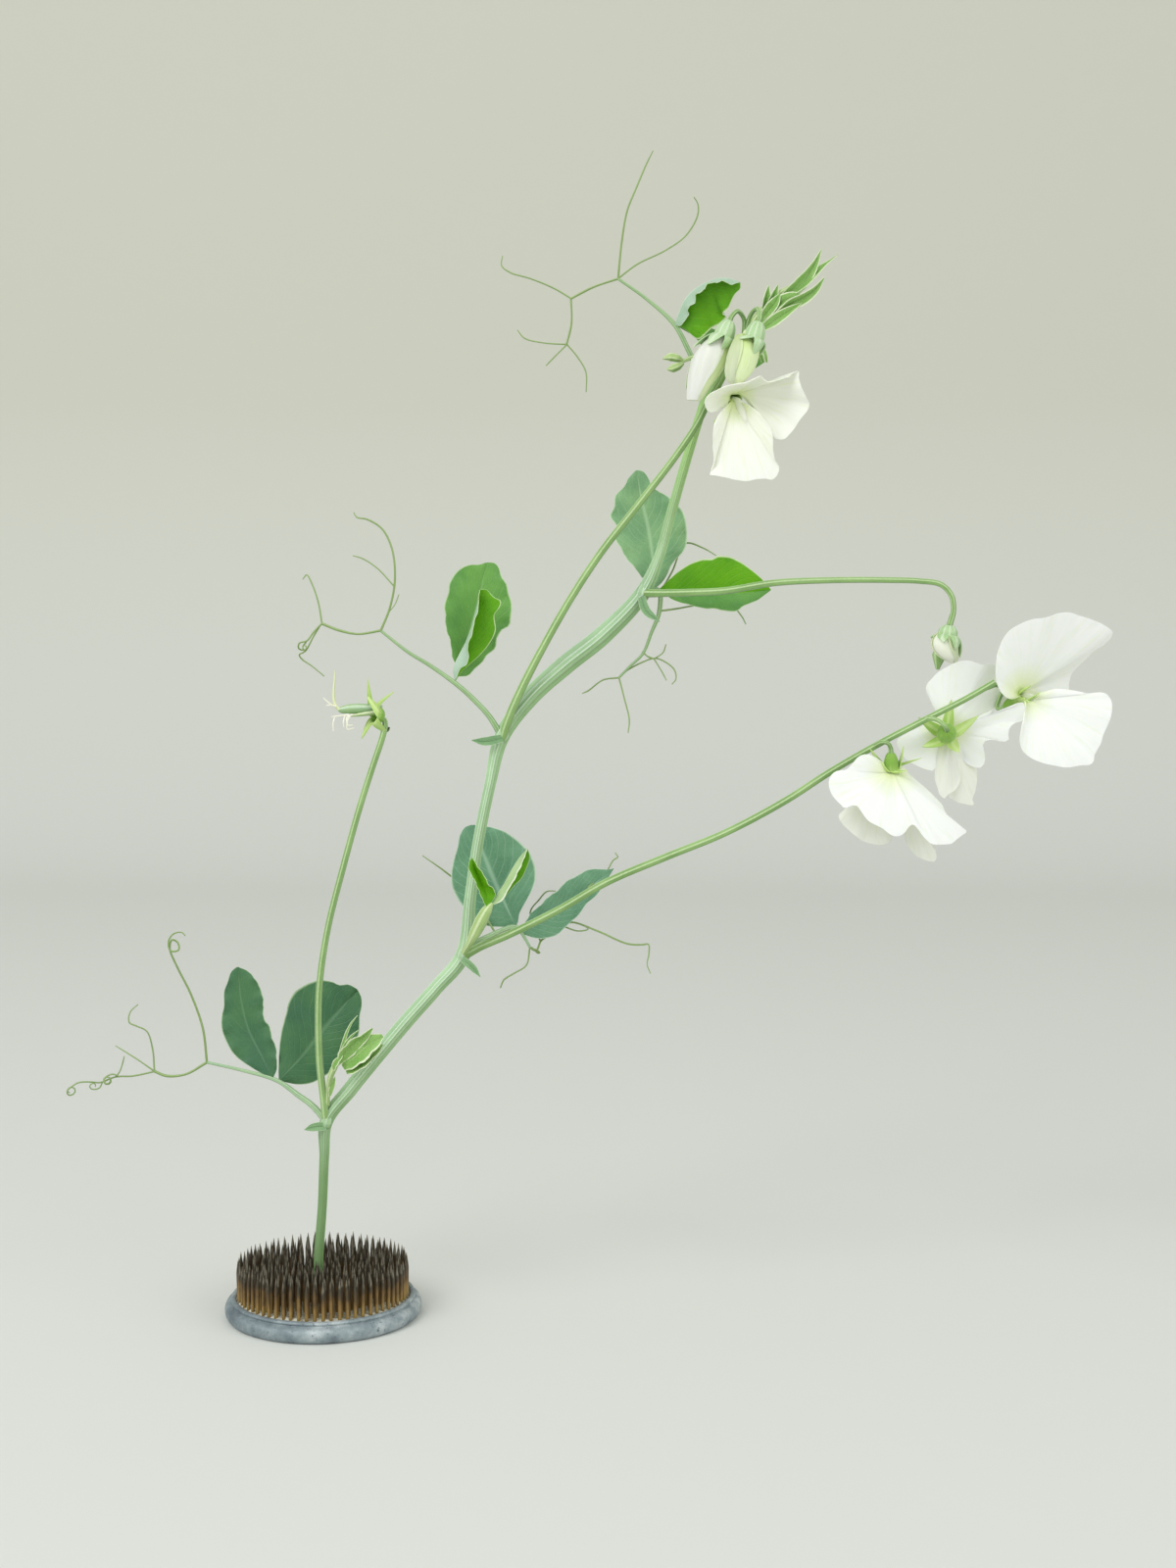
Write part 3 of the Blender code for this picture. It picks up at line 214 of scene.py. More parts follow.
# Aged brass wire: ochre and golden on the shaft, lightest low down, dark brown to black on the
# point, lighter again at the very tip as a painted highlight, with a low sheen. v of the UV map
# runs from 0 at the foot to 1 at the tip.
old_brass, tree, shader = finish_of("aged brass wire", 0.45, 0.35)
spot = add(tree, "UVMap", {"uv_map": "UVMap"})
parts = add(tree, "SeparateXYZ", {}, {"Vector": (spot, "UV")})
place = add(tree, "TexCoord", {})
stain = add(tree, "TexNoise", {"Scale": 260.0, "Detail": 4.0}, {"Vector": (place, "Object")})
shift = add(tree, "Math", {"operation": "MULTIPLY_ADD", 1: 0.9, 2: -0.42}, {0: (stain, "Fac")})
grade = add(tree, "Math", {"operation": "ADD"}, {0: (parts, "Y"), 1: (shift, 0)})
# The last stop, lighter at the very tip, is a painted highlight where the points catch the light.
tone = add(tree, "ValToRGB", {"stops": [
    (0.0, "#a3874a"), (0.30, "#8c7040"), (0.52, "#6e5734"), (0.68, "#4f4330"), (0.84, "#443f33"),
    (1.0, "#7a7463")]}, {"Fac": (grade, 0)})
tree.links.new(tone.outputs["Color"], shader.inputs["Base Color"])
relief = add(tree, "Bump", {"Strength": 0.3, "Distance": 0.0001}, {"Height": (stain, "Fac")})
tree.links.new(relief.outputs[0], shader.inputs["Normal"])

pins = Skin()
places = [(0.0, 0.0), STEM_PIN]
for ring in range(1, RINGS + 1):
    for k in range(6 * ring):
        turn = 2 * pi * k / (6 * ring) + ring * 0.37
        places.append((ring * RING_PITCH * cos(turn), ring * RING_PITCH * sin(turn)))
first = min(range(2, len(places)), key=lambda n: np.hypot(*np.subtract(places[n], STEM_PIN)))
del places[first]
corner = np.linspace(0, 2 * pi, 8, endpoint=False)
outline = np.stack([np.cos(corner), np.sin(corner)], -1)
for number, (x, y) in enumerate(places):
    lean = (0, 0) if (x, y) == STEM_PIN else chance.normal(0, 0.012, 2)
    x, y = (x, y) if (x, y) == STEM_PIN else np.add((x, y), chance.normal(0, 0.10, 2))
    top = PIN_TOP + chance.normal(0, 0.22) * (number != 1)
    heights = np.array([6.2, 9.0, 12.0, top - PIN_POINT, top - 3.3, top - 2.1, top - 0.9, top])
    radii = PIN_RADIUS * np.array([1, 1, 1, 1, 0.86, 0.60, 0.30, 0.08])
    rings = np.zeros((8, 8, 3))
    rings[..., :2] = (np.array([x, y]) + radii[:, None, None] * outline
                      + (heights[:, None, None] - 7) * np.asarray(lean))
    rings[..., 2] = heights[:, None]
    u, v = np.meshgrid(np.linspace(0, 1, 9), (heights - 6.2) / (top - 6.2))
    pins.grid(rings, np.stack([u, v], -1), closed=True)
    pins.lid(rings[-1], (0, 1))
pins.piece("brass_pins", [old_brass], ["holder_pins"], "aged_brass")


# Main stem: a green stem with a flat wing along each side and fine ribs between, swollen and
# yellower at its joints. Its cut end is pushed down onto one of the pins.

STEM = [
    (-1.2, -3.45, 7.7), (-1.1, -3.45, 20.5), (0.3, -3.4, 39.2), (1.1, -3.4, 56.6),
    (1.9, -3.2, 69.0), (10, -3, 80), (17.4, -2, 89.1), (28.7, 0, 102.6),
    (39.6, 2, 114.8), (48.7, 3, 126.0), (51.5, 3, 146.6), (54.2, 2, 165.4),
    (58.4, 1, 185.9), (62.4, 0.5, 202.1), (71.8, 1, 215.5), (83.5, 2, 226.3),
    (96.9, 3, 237.0), (110.2, 4, 251.1), (115.8, 4, 263.1), (120.4, 4, 279.8),
    (125.0, 3, 296.3), (129.4, 2, 311.0), (132.2, 2, 319.3), (136.3, 2, 327.3),
    (141.0, 2.6, 333.6), (146.2, 3, 338.2)]
STEM_HALF = [
    1.7, 1.65, 1.55, 1.65, 2.3, 2.55, 2.5, 2.5, 2.4, 2.55, 2.0, 1.9, 1.9, 2.6, 3.1, 3.3,
    3.2, 2.7, 1.75, 1.65, 1.6, 1.5, 1.6, 1.4, 1.2, 1.0]


def curve(points, step):
    """Points about every step mm on a smooth curve through the given ones, and the place of
    each between the first given point, 0, and the last, 1."""
    p = np.asarray(points, float)
    ends = np.vstack([2 * p[0] - p[1], p, 2 * p[-1] - p[-2]])
    out, where = [], []
    for i in range(len(p) - 1):
        a, b, c, d = ends[i:i + 4]
        ka, kb, kc = (max(np.linalg.norm(q - r), 1e-6) ** 0.5 for q, r in ((b, a), (c, b), (d, c)))
        leave = (c - b) + kb * ((b - a) / ka - (c - a) / (ka + kb))
        reach = (c - b) + kb * ((d - c) / kc - (d - b) / (kb + kc))
        t = np.arange(count := max(1, round(np.linalg.norm(c - b) / step))) / count
        weights = np.stack([2 * t**3 - 3 * t**2 + 1, t**3 - 2 * t**2 + t, 3 * t**2 - 2 * t**3, t**3 - t**2])
        out.append(weights.T @ np.stack([b, leave, c, reach]))
        where.append((i + t) / (len(p) - 1))
    return np.vstack(out + [p[-1:]]), np.concatenate(where + [[1.0]])


def winged(angle):
    """A stem's outline: a round core, a thin wing to each side and fine ribs."""
    core = 0.60 + 0.022 * np.cos(8 * angle)
    return np.cos(angle) * (core + 0.40 * np.abs(np.cos(angle)) ** 10), np.sin(angle) * core


def ribbed(angle):
    """A flower stalk's outline: nearly round, with five low ribs."""
    reach = 0.93 + 0.06 * np.cos(5 * angle + 0.6)
    return np.cos(angle) * reach, np.sin(angle) * reach


def plain(angle):
    return np.cos(angle), np.sin(angle)


def strand(skin, points, halves, step=0.8, sides=12, outline=plain, finish=0, flat=1.0):
    """A stem or thread along the points, with its half-widths spread from end to end. u of its
    UV map runs once round and v is the distance along it in centimetres."""
    centres, where = curve(points, step)
    half = np.interp(where, np.linspace(0, 1, len(halves)), halves)
    across, deep = outline(2 * pi * np.arange(sides) / sides)
    heading = np.gradient(centres, axis=0)
    heading /= np.linalg.norm(heading, axis=1)[:, None]
    depth, rings = np.array([0.0, -1.0, 0.0]), []
    for centre, direction, r in zip(centres, heading, half):
        depth = depth - direction * depth.dot(direction)
        depth /= np.linalg.norm(depth)
        width = np.cross(depth, direction)
        rings.append(centre + r * (across[:, None] * width + flat * deep[:, None] * depth))
    travel = np.concatenate([[0], np.cumsum(np.linalg.norm(np.diff(centres, axis=0), axis=1))])
    u, v = np.meshgrid(np.linspace(0, 1, sides + 1), travel / 10)
    rings = np.array(rings)
    skin.grid(rings, np.stack([u, v], -1), finish, closed=True)
    skin.lid(rings[0][::-1], (0, 0), finish)
    skin.lid(rings[-1], (0, travel[-1] / 10), finish)


def resample(points, places):
    """The points of a smooth line at shares of its length."""
    line, _ = curve(points, 0.4)
    travel = np.concatenate([[0], np.cumsum(np.linalg.norm(np.diff(line, axis=0), axis=1))])
    return np.stack([np.interp(places * travel[-1], travel, line[:, axis]) for axis in range(3)], -1)


def sheet(skin, middle, thickness, uv, finishes=(0, 0), closed=False):
    """Both faces and the rim of a thin sheet about its middle surface."""
    along = np.gradient(middle, axis=0)
    if closed:
        across = np.roll(middle, -1, 1) - np.roll(middle, 1, 1)
    else:
        across = np.gradient(middle, axis=1)
    normal = np.cross(across, along)
    normal /= np.maximum(np.linalg.norm(normal, axis=2), 1e-9)[:, :, None]
    offset = normal * (np.ones(middle.shape[:2]) * thickness)[:, :, None] / 2
    front, back = middle + offset, middle - offset
    skin.grid(front, uv, finishes[0], closed)
    skin.grid(back, uv, finishes[1], closed, flip=True)
    rims = [(front[-1], back[-1], uv[-1])]
    if not closed:
        rims += [(back[0], front[0], uv[0]), (front[:, 0], back[:, 0], uv[:, 0]),
                 (back[:, -1], front[:, -1], uv[:, -1])]
    for one, other, line in rims:
        skin.grid(np.stack([one, other]), np.stack([line, line]), finishes[0], closed)


def blade(skin, left, right, midrib, finishes=(0, 1), thick=0.32, rows=44, cols=25, ripple=0.45,
          waves=5.0, puff=0.25):
    """A leaf blade between its left and right margins, which meet at its foot and its tip. puff
    lifts each half between midrib and margin, and ripple waves the margins. u of its UV map is
    the distance along in centimetres and v runs from margin to margin."""
    places = np.linspace(0.006, 0.994, rows)
    one, rib, other = (resample(line, places) for line in (left, midrib, right))
    t = np.linspace(-1, 1, cols)
    share = np.abs(t)[None, :, None]
    edge = np.where(t[None, :, None] < 0, one[:, None], other[:, None])
    middle = rib[:, None] * (1 - share) + edge * share
    normal = np.cross(np.gradient(middle, axis=1), np.gradient(middle, axis=0))
    normal /= np.maximum(np.linalg.norm(normal, axis=2), 1e-9)[:, :, None]
    width = np.linalg.norm(other - one, axis=1)[:, None]
    room = np.minimum(1, width / 8)
    s, a = places[:, None], np.abs(t)[None]
    phase = 2 * pi * waves * s + np.where(t < 0, 0.0, 1.7)[None]
    lift = ripple * a**3 * (np.sin(phase) + 0.4 * np.sin(2.3 * phase + 1)) * room
    lift += puff * 4 * a * (1 - a) * room
    middle = middle + normal * lift[:, :, None]
    span = np.linalg.norm(np.diff(rib, axis=0), axis=1).sum() / 10
    u, v = np.meshgrid(places * span, (t + 1) / 2, indexing="ij")
    thin = thick * (1 - 0.6 * a**4) * np.ones_like(s) + 0.5 * np.exp(-(a * width / 2) ** 2 / 0.25) * (1 - s)
    uv, half = np.stack([u, v], -1), cols // 2
    if len(finishes) == 2:
        sheet(skin, middle, thin, uv, finishes)
    else:
        sheet(skin, middle[:, :half + 1], thin[:, :half + 1], uv[:, :half + 1], finishes[:2])
        sheet(skin, middle[:, half:], thin[:, half:], uv[:, half:], finishes[2:])


def lance(skin, spine, halves, facing, fold=(15, 15), **how):
    """A narrow blade given by its spine and half-widths. facing is the way its face is turned,
    and fold how far its two halves rise that way, in degrees."""
    places = np.linspace(0, 1, 12)
    rib = resample(spine, places)
    half = np.interp(places, np.linspace(0, 1, len(halves)), halves)
    heading = np.gradient(rib, axis=0)
    heading /= np.linalg.norm(heading, axis=1)[:, None]
    side = np.cross(heading, np.asarray(facing, float))
    side /= np.linalg.norm(side, axis=1)[:, None]
    face = np.cross(side, heading)
    edges = [rib + (sign * side * cos(radians(lift)) + face * sin(radians(lift))) * half[:, None]
             for sign, lift in ((-1, fold[0]), (1, fold[1]))]
    blade(skin, edges[0], edges[1], rib, **how)


def stem_finish(name, skin_colour, rib_colour, young_colour, ribs, roughness=0.5, shade="#66903f", foot=None,
                top=None, cup=None):
    """Green stem skin: smooth and faintly waxy, with paler ribs that run its whole length. ribs
    is how many there are round it, and shade is the green of the painted shade on the faces turned
    down and away from the key light. foot is the darker green near the pins, top the yellower
    one near the tip, and cup the deeper green at the bottom of a calyx, partly its own colour and
    partly painted shade."""
    made, tree, shader = finish_of(name, roughness, Sheen_Weight=0.15, Subsurface_Weight=0.08,
                                   Subsurface_Radius=(0.6, 1.0, 0.3), Subsurface_Scale=0.001)
    spot = add(tree, "UVMap", {"uv_map": "UVMap"})
    parts = add(tree, "SeparateXYZ", {}, {"Vector": (spot, "UV")})
    place = add(tree, "TexCoord", {})
    cloud = add(tree, "TexNoise", {"Scale": 70.0, "Detail": 3.0}, {"Vector": (place, "Object")})
    fine = add(tree, "TexNoise", {"Scale": 1500.0, "Detail": 2.0}, {"Vector": (place, "Object")})
    turn = add(tree, "Math", {"operation": "MULTIPLY", 1: 2 * pi * ribs}, {0: (parts, "X")})
    wave = add(tree, "Math", {"operation": "COSINE"}, {0: (turn, 0)})
    rough_wave = add(tree, "Math", {"operation": "MULTIPLY_ADD", 1: 0.9}, {0: (fine, "Fac"), 2: (wave, 0)})
    rib = add(tree, "MapRange", {"From Min": 0.55, "From Max": 1.5}, {"Value": (rough_wave, 0)})
    tint = add(tree, "MapRange", {"From Min": 0.42, "From Max": 0.62}, {"Value": (cloud, "Fac")})
    ground = add(tree, "Mix", {"data_type": "RGBA", 6: srgb(skin_colour), 7: srgb(young_colour)}, {0: (tint, 0)})
    both = add(tree, "Mix", {"data_type": "RGBA", 7: srgb(rib_colour)}, {0: (rib, 0), 6: (ground, 2)})
    # Painted shade: faces turned down and away from the key light are mixed towards the shade green.
    face = add(tree, "NewGeometry", {})
    turned_down = add(tree, "VectorMath", {"operation": "DOT_PRODUCT", 1: (0.5, 0.0, -0.85)}, {0: (face, "Normal")})
    under = add(tree, "MapRange", {"From Min": 0.05, "From Max": 0.85, "To Max": 0.75}, {"Value": (turned_down, "Value")})
    both = add(tree, "Mix", {"data_type": "RGBA", 7: srgb(shade)}, {0: (under, 0), 6: (both, 2)})
    if foot:
        apart = add(tree, "SeparateXYZ", {}, {"Vector": (place, "Object")})
        low = add(tree, "MapRange", {"From Min": 0.078, "From Max": 0.050, "To Max": 0.8}, {"Value": (apart, "Z")})
        both = add(tree, "Mix", {"data_type": "RGBA", 7: srgb(foot)}, {0: (low, 0), 6: (both, 2)})
    if top:
        apart = add(tree, "SeparateXYZ", {}, {"Vector": (place, "Object")})
        high = add(tree, "MapRange", {"From Min": 0.255, "From Max": 0.300, "To Max": 0.85}, {"Value": (apart, "Z")})
        both = add(tree, "Mix", {"data_type": "RGBA", 7: srgb(top)}, {0: (high, 0), 6: (both, 2)})
    # Partly painted shade: the bell of a calyx, below its teeth, is mixed towards the deep cup green, which is partly
    # its own colour.
    if cup:
        low = add(tree, "MapRange", {"From Min": 0.50, "From Max": 0.28, "To Max": 0.85}, {"Value": (parts, "Y")})
        both = add(tree, "Mix", {"data_type": "RGBA", 7: srgb(cup)}, {0: (low, 0), 6: (both, 2)})
    tree.links.new(both.outputs[2], shader.inputs["Base Color"])
    relief = add(tree, "Bump", {"Strength": 0.35, "Distance": 0.0002}, {"Height": (rough_wave, 0)})
    tree.links.new(relief.outputs[0], shader.inputs["Normal"])
    return made


stem_skin = stem_finish("winged stem skin", "#9dc092", "#cfe2cb", "#add0a0", 8, foot="#628a45", top="#9dc673")


def leaf_finish(name, ground, deep, vein, edge, spacing=3.4, slant=13.0, veined=0.55, border=0.95):
    """Leaf blade: matt and finely netted, with a midrib and side veins that leave it at a sharp
    angle. spacing is from vein to vein and slant how far one runs on by the margin, in mm. The
    pale edge, partly the margin's own colour and partly a painted highlight, starts at border, a
    share of the way from midrib to margin."""
    made, tree, shader = finish_of(name, 0.5, Specular_IOR_Level=0.35)
    spot = add(tree, "UVMap", {"uv_map": "UVMap"})
    parts = add(tree, "SeparateXYZ", {}, {"Vector": (spot, "UV")})
    place = add(tree, "TexCoord", {})
    cloud = add(tree, "TexNoise", {"Scale": 110.0, "Detail": 4.0}, {"Vector": (place, "Object")})
    net = add(tree, "TexVoronoi", {"feature": "DISTANCE_TO_EDGE", "Scale": 850.0}, {"Vector": (place, "Object")})
    from_rib = add(tree, "Math", {"operation": "MULTIPLY_ADD", 1: 2.0, 2: -1.0}, {0: (parts, "Y")})
    a = add(tree, "Math", {"operation": "ABSOLUTE"}, {0: (from_rib, 0)})
    back = add(tree, "Math", {"operation": "MULTIPLY", 1: -slant / spacing}, {0: (a, 0)})
    phase = add(tree, "Math", {"operation": "MULTIPLY_ADD", 1: 10 / spacing}, {0: (parts, "X"), 2: (back, 0)})
    sway = add(tree, "Math", {"operation": "MULTIPLY_ADD", 1: 0.9}, {0: (cloud, "Fac"), 2: (phase, 0)})
    saw = add(tree, "Math", {"operation": "FRACT"}, {0: (sway, 0)})
    centred = add(tree, "Math", {"operation": "SUBTRACT", 1: 0.5}, {0: (saw, 0)})
    off = add(tree, "Math", {"operation": "ABSOLUTE"}, {0: (centred, 0)})
    side_vein = add(tree, "MapRange", {"From Min": 0.11, "From Max": 0.0, "To Max": 0.8}, {"Value": (off, 0)})
    mid_vein = add(tree, "MapRange", {"From Min": 0.085, "From Max": 0.02, "To Max": 1.3}, {"Value": (a, 0)})
    mesh_vein = add(tree, "MapRange", {"From Min": 0.10, "From Max": 0.0, "To Max": 0.30}, {"Value": (net, "Distance")})
    some = add(tree, "Math", {"operation": "MAXIMUM"}, {0: (side_vein, 0), 1: (mid_vein, 0)})
    veins = add(tree, "Math", {"operation": "MAXIMUM"}, {0: (some, 0), 1: (mesh_vein, 0)})
    amount = add(tree, "Math", {"operation": "MULTIPLY", 1: veined}, {0: (veins, 0)})
    tint = add(tree, "MapRange", {"From Min": 0.38, "From Max": 0.66}, {"Value": (cloud, "Fac")})
    body = add(tree, "Mix", {"data_type": "RGBA", 6: srgb(ground), 7: srgb(deep)}, {0: (tint, 0)})
    drawn = add(tree, "Mix", {"data_type": "RGBA", 7: srgb(vein)}, {0: (amount, 0), 6: (body, 2)})
    # Partly painted highlight: a band along the margin is mixed towards the pale edge colour, which is partly the
    # margin's own colour.
    rim = add(tree, "MapRange", {"From Min": border, "From Max": border + 0.045}, {"Value": (a, 0)})
    whole = add(tree, "Mix", {"data_type": "RGBA", 7: srgb(edge)}, {0: (rim, 0), 6: (drawn, 2)})
    tree.links.new(whole.outputs[2], shader.inputs["Base Color"])
    raised = add(tree, "Bump", {"Strength": 0.55, "Distance": 0.00025, "invert": True}, {"Height": (veins, 0)})
    tree.links.new(raised.outputs[0], shader.inputs["Normal"])
    return made


leaf_back = leaf_finish("leaf underside", "#b3cdb6", "#a2c0a6", "#dae8d6", "#e3ecdd", veined=0.5)
leaf_deep = leaf_finish("old leaf face", "#467449", "#3a6848", "#7fa57c", "#a9c298", veined=0.22)
leaf_glaucous = leaf_finish("old leaf underside", "#6a9a76", "#588a68", "#a9cbb0", "#bdd5b8", veined=0.42)
leaf_fresh = leaf_finish("fresh leaf face", "#68a046", "#568f42", "#93bd7c", "#bcd6a2", veined=0.25)
leaf_pale = leaf_finish("fresh leaf underside", "#82ad78", "#719f70", "#b4d3a8", "#c5dcb6", veined=0.4)
leaf_vivid = leaf_finish("young leaf face", "#64aa00", "#529800", "#88bf22", "#d3e6b0", spacing=3.0, veined=0.3)
stipule_skin = leaf_finish("stipule", "#7ea574", "#6b9667", "#b9d2a6", "#cfe0bf", spacing=1.6, slant=4.0)

stem = Skin()
strand(stem, STEM, STEM_HALF, 0.9, 48, winged, flat=1.15)
for joint, size in (((1.9, -3.3, 68.6), 2.5), ((48.9, 2.9, 126.2), 2.7), ((62.6, 0.6, 202.6), 2.9),
                    ((110.4, 4, 251.3), 2.8), ((132.2, 2, 319.3), 1.8)):
    up = np.array([0.25, 0.0, 1.0])
    strand(stem, [joint - up * 2.6, joint - up * 1.2, joint, joint + up * 1.4, joint + up * 3.0],
           [size * 0.5, size * 0.86, size * 0.95, size * 0.84, size * 0.5], 0.5, 24, ribbed, 0, 0.85)
for root, middle, tip, half in (
        ((1.8, -4.2, 67.4), (-1.8, -5.6, 67.4), (-5.4, -6.2, 66.6), 1.8),
        ((48.8, 0.6, 125.2), (52.4, -0.8, 122.4), (55.2, -2.4, 119.4), 1.5),
        ((62.6, -1.2, 201.6), (57.0, -2.8, 200.6), (52.2, -3.6, 201.2), 1.9),
        ((110.0, 2.0, 249.8), (111.6, 0.0, 245.2), (116.2, -1.6, 241.6), 1.8)):
    lance(stem, [root, middle, tip], [0.8 * half, half, 0.85 * half, 0.1], (0, -1, 0.3), (30, 30),
          finishes=(1, 1), rows=20, cols=11, ripple=0.05, puff=0.2)
stem.piece("winged_stem", [stem_skin, stipule_skin], ["main_stem"], "stem_green")


# Flower stalks: bare ribbed stalks from the leaf joints, each with the short hooked stems of
# its flowers. They grow out of the main stem, so their feet are sunk in it.

STALKS = {
    "flower_stalk_1": ([
        (1.9, -3.2, 67.8), (1.2, -4.8, 77), (0, -6, 91.6), (0.2, -7, 115.4), (3.2, -8, 135.9),
        (9.2, -9, 159.3), (14.8, -9, 179.2), (19.2, -9, 192.8), (22.0, -9, 201.0),
        (23.0, -8.8, 204.6), (23.4, -8.4, 207.0), (22.9, -8.2, 208.8)],
        [1.45, 1.35, 1.3, 1.2, 1.15, 1.15, 1.15, 1.1, 1.1, 1.1, 1.0, 0.9]),
    "flower_stalk_2": ([
        (48.2, 2.8, 125.2), (54.9, 1.5, 129.2), (65.1, 0, 133.9), (82.1, -3, 142.9),
        (98.8, -7, 153.2), (118.7, -10, 162.2), (138.4, -13, 170.8), (157.8, -16, 181.7),
        (173.9, -18, 192.5), (189.9, -20, 202.1), (205.9, -21, 210.7), (217, -22, 216.6),
        (226.7, -22, 222.3)],
        [1.7, 1.5, 1.45, 1.4, 1.4, 1.35, 1.3, 1.3, 1.25, 1.2, 1.15, 1.1, 1.1]),
    "flower_stalk_3": ([
        (62.6, 0.2, 201.6), (65.4, -2.4, 209.8), (69.6, -3.6, 219.3), (76.9, -5, 233.4),
        (86, -6, 249.4), (96.3, -7, 265.1), (108.4, -7, 280.6), (121.2, -7, 297.3),
        (128.3, -7, 308.0), (131.6, -7, 314.5), (135.8, -7, 321.7), (139.9, -7, 330.8),
        (143.8, -7, 337.5)],
        [1.7, 1.6, 1.5, 1.4, 1.35, 1.35, 1.3, 1.25, 1.2, 1.2, 1.15, 1.1, 1.0]),
    "flower_stalk_4": ([
        (110.6, 3.6, 251.3), (117, 1.2, 251.3), (125.1, 0, 251.5), (138.3, -2, 252.2),
        (154.8, -3, 254.9), (174.4, -3.4, 255.9), (194.0, -3.6, 256.0), (204.0, -3.8, 255.7),
        (211.1, -4, 254.6), (214.7, -4, 251.0), (215.6, -4, 246.0), (214.5, -4, 241.0)],
        [1.6, 1.4, 1.35, 1.3, 1.2, 1.1, 1.05, 1.0, 1.0, 1.0, 0.95, 1.0])}
SOCKETS = {
    "bloom_a": ((232.5, -8.3, 213.4), (0.80, -0.35, 0.50), (-0.5, -0.1, 0.86)),
    "bloom_b": ((211.0, -22.1, 206.4), (0.15, 0.90, -0.30), (0.1, 0.3, 0.9)),
    "bloom_c": ((192.7, -21.0, 198.7), (0.10, 0.32, -0.94), (0.0, -0.95, -0.3)),
    "bloom_d": ((137.3, -5.0, 318.3), (0.50, -0.80, -0.36), (0.1, -0.3, 0.95)),
    "bud_e1": ((138.4, -12.2, 341.2), (-0.37, -0.10, -0.92), (0, -1, 0)),
    "bud_e2": ((147.6, -17.2, 340.3), (-0.28, -0.06, -0.96), (0, -1, 0)),
    "bud_f": ((214.2, -4.0, 240.8), (-0.14, 0, -0.99), (0, -1, 0)),
    "spent": ((22.6, -8.2, 209.2), (-0.84, -0.46, 0.30), (0.33, 0, 0.94))}
PEDICELS = {
    "bloom_a": [(223.8, -21.6, 220.3), (228.4, -17.0, 221.2), (231.2, -12.0, 219.2),
                (230.8, -8.6, 216.0), (230.4, -7.4, 213.4)],
    "bloom_b": [(204.4, -21.0, 210.2), (207.4, -23.4, 209.8), (209.4, -24.6, 208.4)],
    "bloom_c": [(187.6, -19.9, 200.8), (189.6, -22.2, 202.2), (191.4, -22.6, 202.0)],
    "bloom_d": [(133.2, -7, 317.4), (134.0, -4.2, 319.4)],
    "bud_e1": [(143.6, -7, 337.0), (143.4, -8.2, 342.4), (141.0, -10.8, 344.6)],
    "bud_e2": [(143.8, -7, 337.4), (145.6, -9.4, 343.6), (147.4, -14.0, 345.0)]}


class Seat:
    """Where a flower sits: the foot of its calyx, the way it faces and its upper side."""

    def __init__(self, name):
        place, facing, up = (np.asarray(v, float) for v in SOCKETS[name])
        self.place, self.axis = place, facing / np.linalg.norm(facing)
        side = np.cross(up, self.axis)
        self.side = side / np.linalg.norm(side)
        self.up = np.cross(self.axis, self.side)

    def at(self, x, y, z):
        """Points x to the side, y up and z along the axis, as numbers or as arrays."""
        x, y, z = (np.asarray(v, float)[..., None] for v in (x, y, z))
        return self.place + self.side * x + self.up * y + self.axis * z


stalk_skin = stem_finish("flower stalk skin", "#7ea45e", "#bcd49f", "#94b870", 5, shade="#567f38")

carried = {"flower_stalk_2": ("bloom_a", "bloom_b", "bloom_c"), "flower_stalk_3": ("bloom_d", "bud_e1", "bud_e2")}
for name, (points, halves) in STALKS.items():
    stalk = Skin()
    strand(stalk, points, halves, 0.9, 20, ribbed)
    for flower in carried.get(name, ()):
        seat = Seat(flower)
        strand(stalk, [*PEDICELS[flower], seat.at(0, 0, -1.6), seat.at(0, 0, 0.2)],
               [0.95, 0.8, 0.75, 0.85, 0.95], 0.5, 12, ribbed)
    if name == "flower_stalk_4":
        strand(stalk, [(215.2, -3.4, 244.6), (214.8, 1.0, 241.4), (213.4, 3.2, 236.0),
                       (212.2, 3.2, 230.4), (211.6, 2.8, 225.6)], [0.7, 0.6, 1.2, 2.6, 0.6], 0.6, 14, ribbed)
    stalk.piece(name + "_skin", [stalk_skin], [name], "stem_green")


# Leaves: each has a stalk that bears a pair of leaflets and then runs on into branched
# tendrils, which coil where they touch something. The lower leaves are blue-green and old,
# and the upper ones are fresher, some of them still folded along the midrib.


def thread(skin, points, root=0.36, tip=0.17, curl=None, finish=1):
    """A tendril that thins towards its tip. curl adds a coil there: its radius, its turns, its
    rise for each turn and the way it leans."""
    line = [np.asarray(p, float) for p in points]
    if curl:
        radius, turns, rise, lean = curl
        ahead = line[-1] - line[-2]
        ahead /= np.linalg.norm(ahead)
        lean = np.asarray(lean, float)
        inward = lean - ahead * lean.dot(ahead)
        inward /= np.linalg.norm(inward)
        axis = np.cross(ahead, inward)
        centre, start = line[-1] + inward * radius, line[-1]
        for k in range(1, round(turns * 8) + 1):
            angle = 2 * pi * k / 8
            shrink = 1 - 0.35 * k / (turns * 8)
            line.append(centre + shrink * radius * (-inward * cos(angle) + ahead * sin(angle))
                        + axis * rise * k / 8)
    strand(skin, line, [0.85 * root, 0.7 * root, 0.5 * (root + tip), tip], 0.8, 8, plain, finish)


tendril_skin = stem_finish("tendril skin", "#7e9a55", "#9fb878", "#8ca766", 3, shade="#6f8c46")
petiole_skin = stem_finish("leaf stalk skin", "#8fb387", "#bdd6b2", "#9fbf8c", 6)
fresh_petiole_skin = stem_finish("fresh leaf stalk skin", "#86ab72", "#b9d2a6", "#97b982", 6)


